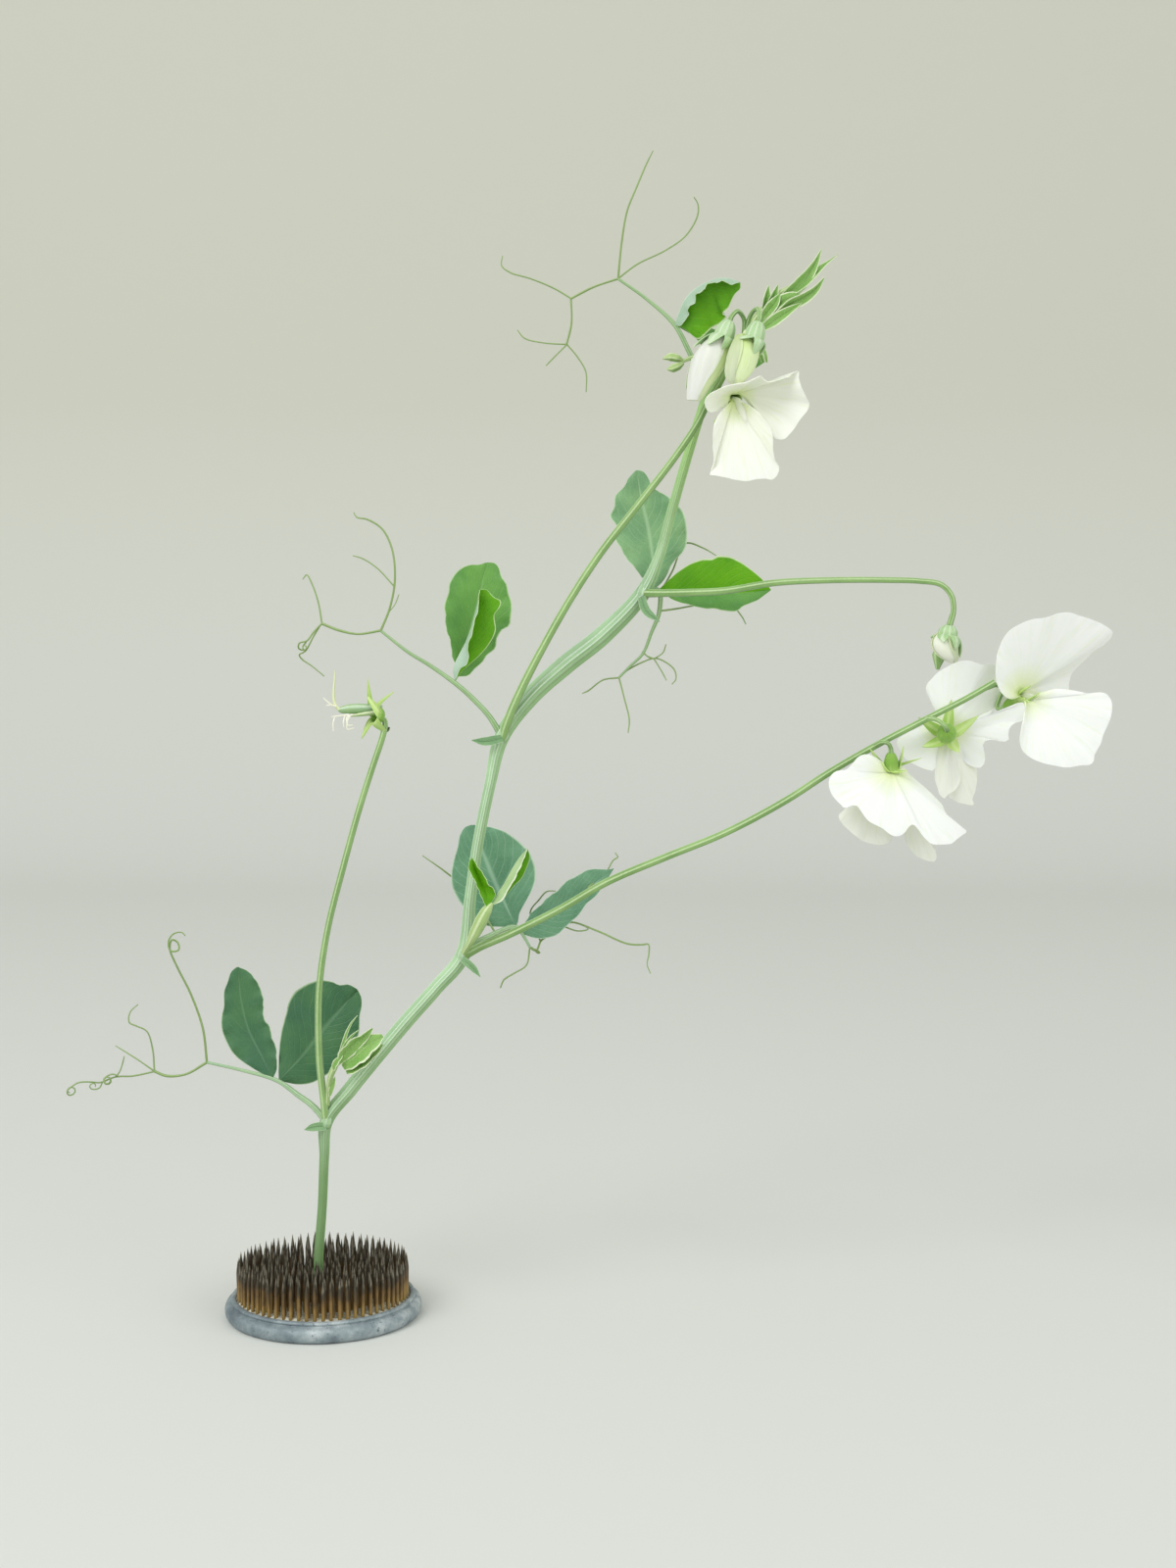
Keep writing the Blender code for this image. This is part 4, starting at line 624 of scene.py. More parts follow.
def leaf(name, petiole, halves, blades, threads, stalk, slot):
    """One whole leaf: its stalk, its leaflets and its tendrils. A leaflet is given by its left
    margin, right margin and midrib, and the materials of its front and its back. When it has
    four materials, its left and right halves differ."""
    skin, materials = Skin(), [stalk, tendril_skin]
    strand(skin, petiole, halves, 0.7, 16, ribbed, 0, 0.85)
    for left, right, midrib, faces, how in blades:
        materials += [one for one in faces if one not in materials]
        blade(skin, left, right, midrib, [materials.index(one) for one in faces], **how)
    for points, how in threads:
        thread(skin, points, **how)
    skin.piece(name + "_blades", materials, [name], slot)


leaf("leaf_1",
     [(1.9, -3.2, 69.0), (-3.4, -2, 74.4), (-7.9, -1, 77.4), (-15.4, 0, 82.4), (-28.0, 2, 85.6),
      (-40.5, 4, 87.9)], [1.3, 1.1, 1.0, 0.8, 0.6, 0.5],
     [([(-17.0, 0.2, 83.2), (-21.0, 0.7, 84.8), (-25.4, 1.2, 87.3), (-29.8, 1.7, 90.3),
        (-32.9, 2.2, 94.6), (-34.9, 2.7, 99.8), (-35.1, 3.1, 103.7), (-34.2, 3.3, 108.0),
        (-34.2, 3.5, 112.8), (-32.9, 3.6, 116.3), (-31.7, 3.8, 119.8), (-29.4, 4.0, 121.7)],
       [(-17.0, 0.2, 83.2), (-16.0, 0.7, 85.3), (-15.6, 1.2, 90.5), (-16.7, 1.7, 95.6),
        (-18.1, 2.2, 99.9), (-20.1, 2.7, 104.2), (-20.7, 3.1, 107.7), (-20.3, 3.3, 110.7),
        (-21.6, 3.5, 113.8), (-23.3, 3.6, 117.7), (-26.4, 3.8, 120.3), (-29.4, 4.0, 121.7)],
       [(-17.0, 0.2, 83.2), (-21.2, 2.1, 91.1), (-25.7, 4.0, 99.6), (-28.2, 4.0, 109.2),
        (-29.4, 4.0, 121.7)], (leaf_deep, leaf_back), {"ripple": 0.7, "waves": 6}),
      ([(-15.0, 0.4, 82.5), (-15.2, 1.3, 86.0), (-15.1, 2.3, 90.2), (-14.7, 3.2, 97.1),
        (-13.1, 4.1, 104.0), (-12.3, 5.1, 108.2), (-9.8, 6.0, 112.5), (-5.9, 6.5, 115.2),
        (-2.0, 7.0, 116.3), (2.7, 7.5, 116.0), (5.3, 8.0, 114.8), (8.7, 8.5, 114.5),
        (11.7, 9.0, 112.9)],
       [(-15.0, 0.4, 82.5), (-12.0, 1.5, 81.3), (-8.3, 2.6, 80.5), (-3.2, 3.8, 81.1),
        (1.9, 4.9, 84.0), (7.1, 6.0, 88.2), (10.5, 6.6, 93.0), (12.2, 7.2, 98.2),
        (12.6, 7.8, 103.4), (13.0, 8.4, 109.9), (11.7, 9.0, 112.9)],
       [(-15.0, 0.4, 82.5), (-7.5, 4.2, 90.3), (-1.0, 8.0, 98.4), (5.1, 9.0, 105.3),
        (11.6, 10.0, 112.7)], (leaf_deep, leaf_back), {"ripple": 0.5, "waves": 5})],
     [([(-40.5, 4, 87.9), (-41.4, 2, 100.1), (-45, 0, 112.5), (-49.4, -3, 123.3),
        (-51.2, -5, 129.4), (-50.2, -6, 132.6), (-48.0, -6.6, 131.6), (-47.8, -7.2, 129.2),
        (-50.4, -7.6, 129.0), (-51.0, -8, 132.4), (-49.2, -8, 135.0), (-46.3, -8, 135.4),
        (-45.2, -8, 134.2)], {"root": 0.5}),
      ([(-40.5, 4, 87.9), (-48, 5, 83.5), (-55, 6, 82.6), (-59.4, 6, 84.3)], {"root": 0.55, "tip": 0.5}),
      ([(-59.2, 6, 84.0), (-59.6, 5, 92.5), (-61.2, 3, 99.1), (-64.4, 2, 101.0), (-66.8, 1.4, 102.4),
        (-66.4, 1, 106.0), (-63.4, 0, 109.0)], {}),
      ([(-59.2, 6, 84.2), (-65.6, 8, 88.0), (-73.6, 10, 92.4)], {"root": 0.35}),
      ([(-59.0, 6, 84.2), (-67, 6, 82.5), (-72.6, 5, 82.4), (-78.0, 4, 80.6), (-80.4, 3, 81.0),
        (-84.7, 1, 81.2), (-87.6, 0, 79.4)], {"curl": (1.7, 1.4, -1.2, (0, 0.3, -1))}),
      ([(-72.6, 5, 82.4), (-70.9, 4, 84.6), (-69.6, 3, 88.0), (-68.6, 1, 90.6)], {"root": 0.32}),
      ([(-71.2, 5, 82.4), (-73.4, 4, 83.6), (-75.6, 3.6, 82.8)],
       {"root": 0.34, "curl": (1.5, 1.8, 0.5, (0, -0.3, -1))}),
      ([(-77.0, 4.2, 80.9), (-78.0, 3.4, 78.8), (-79.8, 3, 78.4)],
       {"root": 0.3, "curl": (1.3, 0.9, 0.4, (0, -0.3, 1))})],
     petiole_skin, "leaf_blue_green")

leaf("leaf_2",
     [(48.9, 3.6, 126.6), (52.5, 6.4, 129.4), (58.0, 8.4, 132.1), (67.1, 11, 134.8),
      (69.8, 11.8, 131.2), (71.9, 12, 127.4)], [1.2, 1.05, 1.0, 0.9, 0.6, 0.5],
     [([(66.9, 11.0, 135.2), (62.9, 11.3, 134.8), (58.3, 11.6, 134.9), (54.4, 11.9, 135.8),
        (50.8, 12.2, 138.4), (48.3, 12.5, 141.7), (45.8, 12.8, 145.6), (44.3, 13.1, 149.6),
        (44.2, 13.2, 153.5), (45.1, 13.4, 158.1), (46.4, 13.5, 162.7), (47.2, 13.7, 166.7),
        (49.1, 13.8, 169.6), (51.7, 14.0, 170.5)],
       [(66.9, 11.0, 135.2), (67.7, 11.3, 136.6), (68.2, 11.6, 139.9), (70.5, 11.9, 143.8),
        (72.7, 12.2, 147.8), (73.7, 12.5, 151.7), (73.5, 12.8, 156.3), (72.1, 13.1, 160.2),
        (69.4, 13.2, 163.2), (66.1, 13.4, 166.1), (62.9, 13.5, 168.2), (58.9, 13.7, 169.4),
        (55.0, 13.8, 170.1), (51.7, 14.0, 170.5)],
       [(66.9, 11.0, 135.2), (63.5, 12.8, 142.1), (59.9, 14.5, 149.4), (55.6, 14.2, 160.0),
        (51.7, 14.0, 170.5)], (leaf_glaucous, leaf_deep), {"ripple": 0.4, "waves": 4}),
      ([(68.9, 11.0, 134.7), (72.1, 11.4, 139.3), (76.0, 11.9, 143.2), (80.6, 12.3, 147.1),
        (85.2, 12.8, 151.1), (89.1, 13.1, 153.3), (93.1, 13.3, 155.0), (95.7, 13.6, 155.1),
        (99.0, 13.8, 154.8), (101.3, 14.0, 155.3)],
       [(68.9, 11.0, 134.7), (68.9, 11.3, 132.7), (70.8, 11.7, 131.6), (74.1, 12.0, 130.7),
        (77.4, 12.3, 130.7), (81.3, 12.7, 131.8), (83.9, 13.0, 134.1), (86.6, 13.2, 136.8),
        (89.2, 13.3, 139.1), (91.8, 13.5, 143.0), (95.1, 13.7, 145.7), (97.7, 13.8, 149.6),
        (101.3, 14.0, 155.3)],
       [(68.9, 11.0, 134.7), (76.0, 12.8, 137.8), (83.9, 14.5, 141.9), (92.4, 14.2, 148.2),
        (101.3, 14.0, 155.3)], (leaf_glaucous, leaf_deep), {"ripple": 0.5, "waves": 5})],
     [([(71.8, 12, 127.6), (70.6, 11, 121.3), (66.5, 10, 118.7), (62.8, 9, 116.4), (61.6, 8.6, 113.6)],
       {"tip": 0.24}),
      ([(71.7, 12, 127.6), (74.0, 12.2, 126.3), (75.7, 14, 129.5), (78.4, 16, 131.1),
        (83.5, 17.5, 134.3), (86.3, 18, 135.5), (95.6, 18, 132.4), (106.0, 17, 128.1),
        (111.2, 16, 127.9), (113.5, 15, 128.2), (113.6, 14, 124.8), (113.0, 12.6, 121.4),
        (114.2, 12, 118.3)], {"root": 0.5}),
      ([(83.3, 17.4, 134.2), (88.7, 18, 132.4), (92.2, 18, 133.1), (90.6, 17.6, 134.6)], {"root": 0.35}),
      ([(75.5, 13.8, 129.3), (71.8, 17, 139.1), (74.9, 18, 143.5), (77.6, 18, 146.4),
        (80.8, 18, 146.6)], {"root": 0.38}),
      ([(60.0, 9.0, 132.8), (50.7, 18, 145.5), (42.0, 19, 153.0), (33.7, 19, 158.9)], {"root": 0.45}),
      ([(92.1, 13, 148.6), (98.3, 16, 153.4), (101.1, 16, 158.0), (102.6, 15.4, 159.0),
        (101.6, 15, 160.6)], {"root": 0.35}),
      ([(72.4, 12, 127.4), (74.6, 11, 126.0)], {"root": 0.4, "curl": (1.1, 1.6, 0.4, (0, -1, 0.6))})],
     petiole_skin, "leaf_blue_green")

leaf("leaf_3",
     [(62.2, 0.4, 202.6), (58.2, -0.4, 209.2), (53.4, -1, 214.5), (47.5, -2, 219.9),
      (38.1, -2.6, 226.6), (30.5, -3.2, 231.3), (21.4, -4, 238.5)], [1.2, 1.0, 0.95, 0.9, 0.7, 0.6, 0.5],
     [([(46.7, -1.8, 222.9), (46.0, -1.0, 229.5), (44.9, -0.2, 233.5), (43.7, 0.6, 238.7),
        (42.8, 1.4, 243.8), (42.8, 2.2, 247.3), (43.9, 3.0, 250.7), (44.2, 3.5, 254.2),
        (46.2, 4.0, 257.6), (48.4, 4.5, 259.7), (51.3, 5.0, 260.8), (54.2, 5.5, 260.8),
        (57.0, 6.0, 261.7)],
       [(46.7, -1.8, 222.9), (48.1, -1.2, 222.8), (51.0, -0.7, 223.2), (53.3, -0.1, 225.5),
        (56.1, 0.5, 227.8), (57.2, 1.0, 230.1), (60.1, 1.6, 232.4), (60.9, 2.2, 235.8),
        (62.4, 2.7, 238.7), (64.9, 3.2, 240.4), (65.5, 3.5, 242.7), (65.8, 3.9, 247.3),
        (64.6, 4.2, 250.8), (64.0, 4.6, 254.2), (62.0, 4.9, 257.1), (61.1, 5.3, 260.0),
        (59.9, 5.6, 261.4), (57.0, 6.0, 261.7)],
       [(46.7, -1.8, 222.9), (49.1, 1.6, 231.2), (51.8, 5.0, 240.4), (54.7, 5.5, 250.8),
        (57.0, 6.0, 261.7)], (leaf_fresh, leaf_pale), {"ripple": 0.6, "waves": 5}),
      ([(46.8, -2.4, 221.4), (48.6, -4.8, 225.6), (50.9, -7.2, 227.2), (51.5, -9.6, 231.5),
        (51.9, -12.0, 234.9), (53.3, -11.2, 239.5), (54.4, -10.5, 244.0), (54.9, -9.8, 247.9),
        (55.4, -8.0, 252.4)],
       [(46.8, -2.4, 221.4), (49.1, -2.8, 224.7), (51.7, -3.3, 227.0), (56.3, -3.7, 231.4),
        (59.2, -4.1, 235.4), (60.6, -4.6, 238.8), (60.4, -5.0, 240.8), (60.1, -5.2, 243.9),
        (61.8, -5.3, 246.2), (62.4, -5.5, 248.5), (59.8, -5.7, 249.9), (57.6, -5.8, 252.3),
        (55.4, -8.0, 252.4)],
       [(46.8, -2.4, 221.4), (46.1, -2.9, 225.0), (48.3, -3.3, 230.2), (50.6, -3.8, 234.8),
        (52.3, -4.1, 239.3), (53.5, -4.4, 243.9), (54.7, -4.7, 248.5), (55.4, -8.0, 252.4)],
       (leaf_vivid, leaf_back), {"ripple": 0.25, "waves": 4})],
     [([(21.6, -4, 238.4), (24.9, -6, 246.2), (26.8, -8, 256.0), (25.9, -9, 265.9),
        (22.7, -9, 272.4), (17.8, -9, 275.6), (14.0, -8, 276.4), (13.0, -7.6, 278.0)], {"root": 0.48}),
      ([(26.4, -7.4, 253.4), (20.4, -3, 259.4), (15.2, -1, 262.7), (11.8, 0, 263.7)], {"root": 0.32}),
      ([(24.2, -5.4, 244.4), (26.2, -3, 247.0), (27.6, -2, 250.6)], {"root": 0.22, "tip": 0.16}),
      ([(21.6, -4, 238.4), (13.6, -3, 237.2), (6.9, -2, 238.5), (1.1, -1, 240.7)], {"root": 0.5, "tip": 0.45}),
      ([(1.3, -1, 240.5), (0, 0, 247.7), (-2.4, 1, 254.4), (-4.2, 2, 257.2), (-5.6, 2.4, 255.6)], {}),
      ([(1.3, -1, 240.7), (-1.6, -3, 237.4), (-3.4, -4, 234.9), (-6.2, -3, 234.0), (-6.6, -2, 232.2),
        (-4.4, -1, 231.6), (-2.8, -1.4, 234.0)], {"root": 0.4}),
      ([(0.4, -1.4, 239.6), (-1.8, 0, 236.2), (-4.6, 0, 231.2), (-6.8, 1, 230.0), (-6.0, 2, 228.4),
        (-2.8, 2, 226.2), (1.6, 2, 222.6)], {"root": 0.36, "tip": 0.18}),
      ([(-3.8, -3.4, 234.4), (-4.9, -3, 233.2)], {"root": 0.32, "curl": (0.9, 1.3, 0.4, (1, -0.4, 0))})],
     fresh_petiole_skin, "leaf_fresh_green")

leaf("leaf_4",
     [(110.2, 4.2, 251.1), (112.6, 6.6, 251.6), (116.2, 8, 252.2), (116.3, 8.4, 244.7),
      (113.8, 9, 238.0), (110.8, 10, 230.5), (106.4, 10, 226.1), (102.4, 10, 222.0)],
     [1.3, 1.1, 1.0, 0.85, 0.65, 0.55, 0.5, 0.45],
     [([(114.4, 8.2, 252.6), (109.7, 9.1, 257.7), (105.8, 9.7, 262.2), (103.2, 10.4, 266.1),
        (100.9, 11.0, 270.3), (101.6, 11.7, 273.8), (99.3, 12.2, 277.7), (100.6, 12.5, 280.9),
        (100.9, 12.9, 284.5), (104.1, 13.3, 288.0), (105.4, 13.6, 290.6), (108.3, 14.0, 293.7)],
       [(114.4, 8.2, 252.6), (116.4, 9.0, 254.2), (118.7, 9.5, 257.1), (121.3, 10.1, 262.3),
        (125.2, 10.6, 266.5), (125.8, 11.2, 271.3), (125.5, 11.7, 276.1), (124.2, 12.2, 279.7),
        (119.3, 12.5, 284.5), (115.4, 12.8, 286.7), (113.5, 13.1, 288.7), (112.2, 13.4, 291.3),
        (110.6, 13.7, 293.2), (108.3, 14.0, 293.7)],
       [(114.4, 8.2, 252.6), (114.0, 10.9, 262.2), (112.2, 13.5, 274.6), (109.9, 13.8, 284.8),
        (108.3, 14.0, 293.7)], (leaf_pale, leaf_fresh), {"ripple": 0.6, "waves": 6}),
      ([(116.2, 8.0, 252.7), (119.3, 7.5, 255.8), (123.1, 6.9, 259.0), (126.9, 6.4, 261.6),
        (130.8, 5.8, 262.9), (134.6, 5.3, 263.1), (135.9, 5.1, 264.0), (139.7, 5.4, 264.0),
        (143.6, 5.6, 262.3), (147.5, 5.9, 259.7), (150.8, 6.1, 256.9), (154.7, 6.4, 252.6)],
       [(116.2, 8.0, 252.7), (120.6, 7.3, 249.4), (124.5, 6.5, 247.8), (128.3, 5.8, 247.0),
        (132.1, 5.1, 246.2), (135.3, 4.4, 245.9), (139.2, 4.2, 245.4), (143.1, 4.7, 245.5),
        (145.0, 5.1, 246.9), (148.2, 5.5, 248.3), (151.5, 6.0, 250.2), (154.7, 6.4, 252.6)],
       [(116.2, 8.0, 252.7), (124.5, 8.0, 251.9), (133.6, 8.0, 251.4), (143.2, 7.2, 251.5),
        (154.7, 6.4, 252.6)], (leaf_vivid, leaf_back, leaf_fresh, leaf_back), {"ripple": 0.35, "waves": 4})],
     [([(102.6, 10, 222.2), (97, 11, 221.3), (91.9, 12, 217.5), (89.8, 12, 216.6)], {}),
      ([(102.6, 10, 222.2), (104.4, 9, 215.3), (106.2, 8, 207.6), (105.8, 8, 203.1)], {}),
      ([(104.4, 10, 224.2), (110.0, 11, 227.2), (114.9, 11, 228.9), (118.3, 12, 227.8),
        (121.9, 13, 224.8), (122.4, 13, 221.6), (121.0, 13, 219.8)], {"root": 0.36}),
      ([(114.7, 11, 228.7), (117.8, 10.4, 230.9), (118.8, 10, 233.8)], {"root": 0.3}),
      ([(114.7, 11, 228.7), (117.4, 12, 224.4), (119.1, 12, 221.2)], {"root": 0.3}),
      ([(110.6, 10, 231.2), (112.4, 10.4, 229.6), (114.7, 11, 228.7)], {"root": 0.36, "tip": 0.3}),
      ([(116.2, 8.4, 245.2), (122.3, 12, 246.0), (128, 15.5, 247.0), (134.3, 17, 248.0),
        (142.4, 17, 246.5), (145.3, 16, 243.4), (146.7, 15, 240.7)], {"root": 0.42}),
      ([(116.6, 8.6, 251.6), (121, 15, 259), (125.6, 17, 268.6), (131.7, 16, 267.0),
        (136.2, 15, 264.4)], {"root": 0.42})],
     fresh_petiole_skin, "leaf_fresh_green")

leaf("leaf_5",
     [(132.2, 2.2, 319.3), (129.6, 4.6, 325.0), (125.7, 5, 333.3), (120.7, 5, 342.2),
      (111.3, 5, 350.6), (101.4, 5, 357.5)], [1.2, 1.0, 0.95, 0.85, 0.6, 0.5],
     [([(121.3, 4.8, 341.8), (122.9, 2.6, 341.5), (124.9, 0.5, 344.3), (125.4, -1.7, 346.7),
        (127.4, -3.8, 349.1), (127.9, -6.0, 350.9), (130.0, -6.0, 352.5), (132.7, -6.0, 354.6),
        (135.4, -6.0, 355.0), (139.2, -5.0, 354.3), (142.5, -2.0, 355.3)],
       [(121.3, 4.8, 341.8), (122.7, 4.2, 341.3), (125.1, 3.5, 339.8), (128.4, 2.9, 337.0),
        (130.0, 2.2, 337.5), (133.3, 1.6, 340.6), (135.9, 1.0, 341.8), (138.1, 0.3, 344.3),
        (136.9, -0.4, 345.0), (138.5, -0.9, 346.8), (139.8, -1.2, 349.5), (140.9, -1.5, 351.6),
        (142.5, -1.7, 353.2), (142.5, -2.0, 355.3)],
       [(121.3, 4.8, 341.8), (122.3, 3.4, 345.7), (124.2, 2.1, 349.9), (127.1, 0.7, 352.9),
        (130.3, -0.3, 354.9), (134.6, -0.9, 356.5), (137.9, -1.4, 356.6), (142.5, -2.0, 355.3)],
       (leaf_vivid, leaf_back, leaf_vivid, leaf_back), {"ripple": 0.4, "waves": 6}),
      ([(120.9, 5.2, 342.0), (126.6, 8.0, 343.6), (134.0, 10.6, 341.6), (142.0, 11.4, 338.6),
        (149.0, 11.0, 335.0), (152.8, 10.4, 330.7)],
       [(120.9, 5.2, 342.0), (126.8, 8.0, 339.0), (132.6, 10.2, 333.4), (139.4, 11.4, 329.0),
        (147.0, 11.0, 327.6), (152.8, 10.4, 330.7)],
       [(120.9, 5.2, 342.0), (131, 9.4, 339), (142, 11, 334), (152.8, 10.4, 330.7)],
       (leaf_fresh, leaf_back), {"ripple": 0.5, "waves": 4})],
     [([(101.6, 5, 357.4), (102.6, 3, 368.2), (104.5, 1, 379.2), (107.7, 0, 387.1),
        (110.9, -1, 394.4), (113.0, -2, 398.4)], {"root": 0.44}),
      ([(101.6, 5, 357.4), (107.9, 3, 361.8), (117.7, 0, 366.2), (124.2, -2, 370.7),
        (127.9, -4, 376.9), (127.9, -5, 380.5), (126.5, -6, 382.6)], {}),
      ([(101.8, 5, 357.4), (93.1, 6, 354.6), (85.4, 7, 350.8)], {"root": 0.46, "tip": 0.4}),
      ([(85.8, 7, 350.9), (79.7, 7, 354.4), (71.5, 5, 357.4), (65.4, 4, 359.0), (62.2, 4, 361.4),
        (62.5, 4, 364.6)], {"root": 0.36}),
      ([(85.6, 7, 351.2), (85.8, 9, 342.9), (84.1, 10, 335.7)], {"root": 0.4, "tip": 0.34}),
      ([(84.3, 10, 335.9), (76.4, 11, 336.5), (69.7, 12, 338.2), (67.3, 12, 340.9)], {"root": 0.32}),
      ([(84.3, 10, 335.9), (79.8, 8, 331.2), (77.2, 7, 328.4)], {"root": 0.32}),
      ([(84.1, 10, 336.1), (88.1, 11, 331.5), (90.8, 12, 326.7), (90.9, 12, 320.0)], {"root": 0.32})],
     fresh_petiole_skin, "leaf_fresh_green")


# Side shoots and tip: new growth in the joints and at the end of the stem, bright yellow-green
# and still folded, with pale hairy edges that are partly a painted highlight.

shoot_face = leaf_finish("new leaf face", "#8db864", "#74a748", "#c3dca0", "#dfeac6", spacing=1.8, slant=5.0, border=0.82)
shoot_back = leaf_finish("new leaf underside", "#b3d097", "#9dc07e", "#d9e8c0", "#edf4df", spacing=1.8, slant=5.0, border=0.82)
shoot_stem = stem_finish("new stem skin", "#a6c27a", "#d3e2b2", "#b5cd8a", 5)
young = [leaf_vivid, shoot_back, shoot_stem, shoot_face]

shoot = Skin()
strand(shoot, [(2.4, -4.5, 75.1), (2.9, -6, 79.6), (3.9, -8, 85.2), (5.4, -8.8, 88.8),
                (7.1, -9.2, 91.6)],
       [1.0, 0.8, 1.1, 1.2, 0.6], 0.6, 12, ribbed, 2)
for spine, halves, facing, fold in (
        ([(8.7, -8.8, 88.8), (12.2, -9.4, 92.3), (15.9, -9.6, 95.8), (19.6, -9.4, 98.5),
          (22.2, -9, 100.1)],
         [1.2, 3.4, 4.3, 4.2, 3.2, 0.8], (-0.3, -1, 0.3), (10, 24)),
        ([(6.7, -9, 90.5), (9.2, -9.6, 94.8), (12.6, -10, 98.3), (16, -10, 100.6),
          (18.6, -9.8, 103)],
         [0.8, 2.6, 3.3, 2.9, 1.9, 0.4], (0.3, -1, -0.5), (30, 25)),
        ([(9.7, -8.4, 87), (13.1, -9.2, 89.2), (17.2, -9.4, 92.4), (20.2, -9, 95),
          (22.2, -8.6, 97)],
         [0.8, 2.2, 2.8, 2.4, 1.8, 0.4], (-0.5, -1, 0.7), (40, 20)),
        ([(5.4, -9.4, 88.2), (6.2, -10.2, 90.5), (7.6, -10.4, 92.5), (8.5, -10, 93.5)],
         [0.4, 1.3, 1.5, 1.1, 0.2], (-0.5, -1, 0.2), (40, 40)),
        ([(3.3, -6, 78.2), (4.1, -7, 81.5), (5.5, -7.6, 85.5)],
         [0.3, 1.0, 1.1, 0.1], (0.3, -1, 0), (25, 25))):
    lance(shoot, spine, halves, facing, fold, finishes=(3, 1), rows=28, cols=17, ripple=0.45, waves=3)
for spine in ([(7.1, -9, 92.9), (8.5, -9.4, 97.4), (9.9, -9.6, 101.6), (11.6, -9.4, 104.9),
               (13.6, -9.2, 107.3)],
              [(7.4, -9, 93.6), (9.2, -9.4, 97.1), (11.2, -9.6, 99.9), (13.9, -9.4, 102.2)]):
    lance(shoot, spine, [0.5, 0.7, 0.6, 0.4, 0.1], (0.2, -1, 0), (30, 30), finishes=(3, 1), rows=24,
          cols=9, ripple=0.03)
shoot.piece("side_shoot_1_leaves", young, ["side_shoot_1"], "shoot_yellow_green")

shoot = Skin()
strand(shoot, [(49.4, 1.2, 127.2), (51.8, -2.2, 131.5), (54.6, -4, 137.0), (57.4, -5.0, 142.6),
               (59.4, -5.2, 145.6)], [1.2, 1.3, 2.1, 2.4, 1.9, 0.6], 0.6, 16, ribbed, 2, 0.8)
for left, right, midrib in (
        ([(58.1, -5.0, 143.9), (57.2, -6.0, 144.7), (55.0, -7.0, 149.7), (53.5, -8.0, 153.7),
          (51.5, -7.7, 157.5), (51.7, -7.3, 160.3), (52.8, -7.4, 161.4)],
         [(58.1, -5.0, 143.9), (60.5, -6.3, 148.3), (60.2, -7.7, 150.4), (58.3, -9.0, 152.5),
          (56.7, -8.7, 155.7), (54.8, -8.3, 158.2), (52.8, -7.4, 161.4)],
         [(58.1, -5.0, 143.9), (57.5, -5.0, 147.5), (55.7, -5.0, 152.6), (53.7, -5.5, 157.2),
          (52.8, -7.4, 161.4)]),
        ([(59.7, -5.0, 144.9), (62.7, -6.1, 146.4), (65.3, -7.3, 151.0), (67.2, -8.4, 154.1),
          (68.5, -9.0, 157.1), (69.5, -9.0, 159.0), (70.4, -9.0, 161.6), (71.6, -7.4, 164.6)],
         [(59.7, -5.0, 144.9), (63.6, -5.3, 147.5), (66.8, -5.7, 151.5), (69.4, -6.0, 154.1),
          (71.0, -6.0, 157.3), (72.2, -6.0, 161.2), (71.6, -7.4, 164.6)],
         [(59.7, -5.0, 144.9), (61.0, -5.0, 147.8), (63.6, -5.0, 152.0), (66.1, -5.2, 156.9),
          (68.7, -5.6, 161.1), (71.6, -7.4, 164.6)])):
    blade(shoot, left, right, midrib, rows=32, cols=17, ripple=0.3, waves=6, puff=0.15)
shoot.piece("side_shoot_2_leaves", young, ["side_shoot_2"], "shoot_yellow_green")

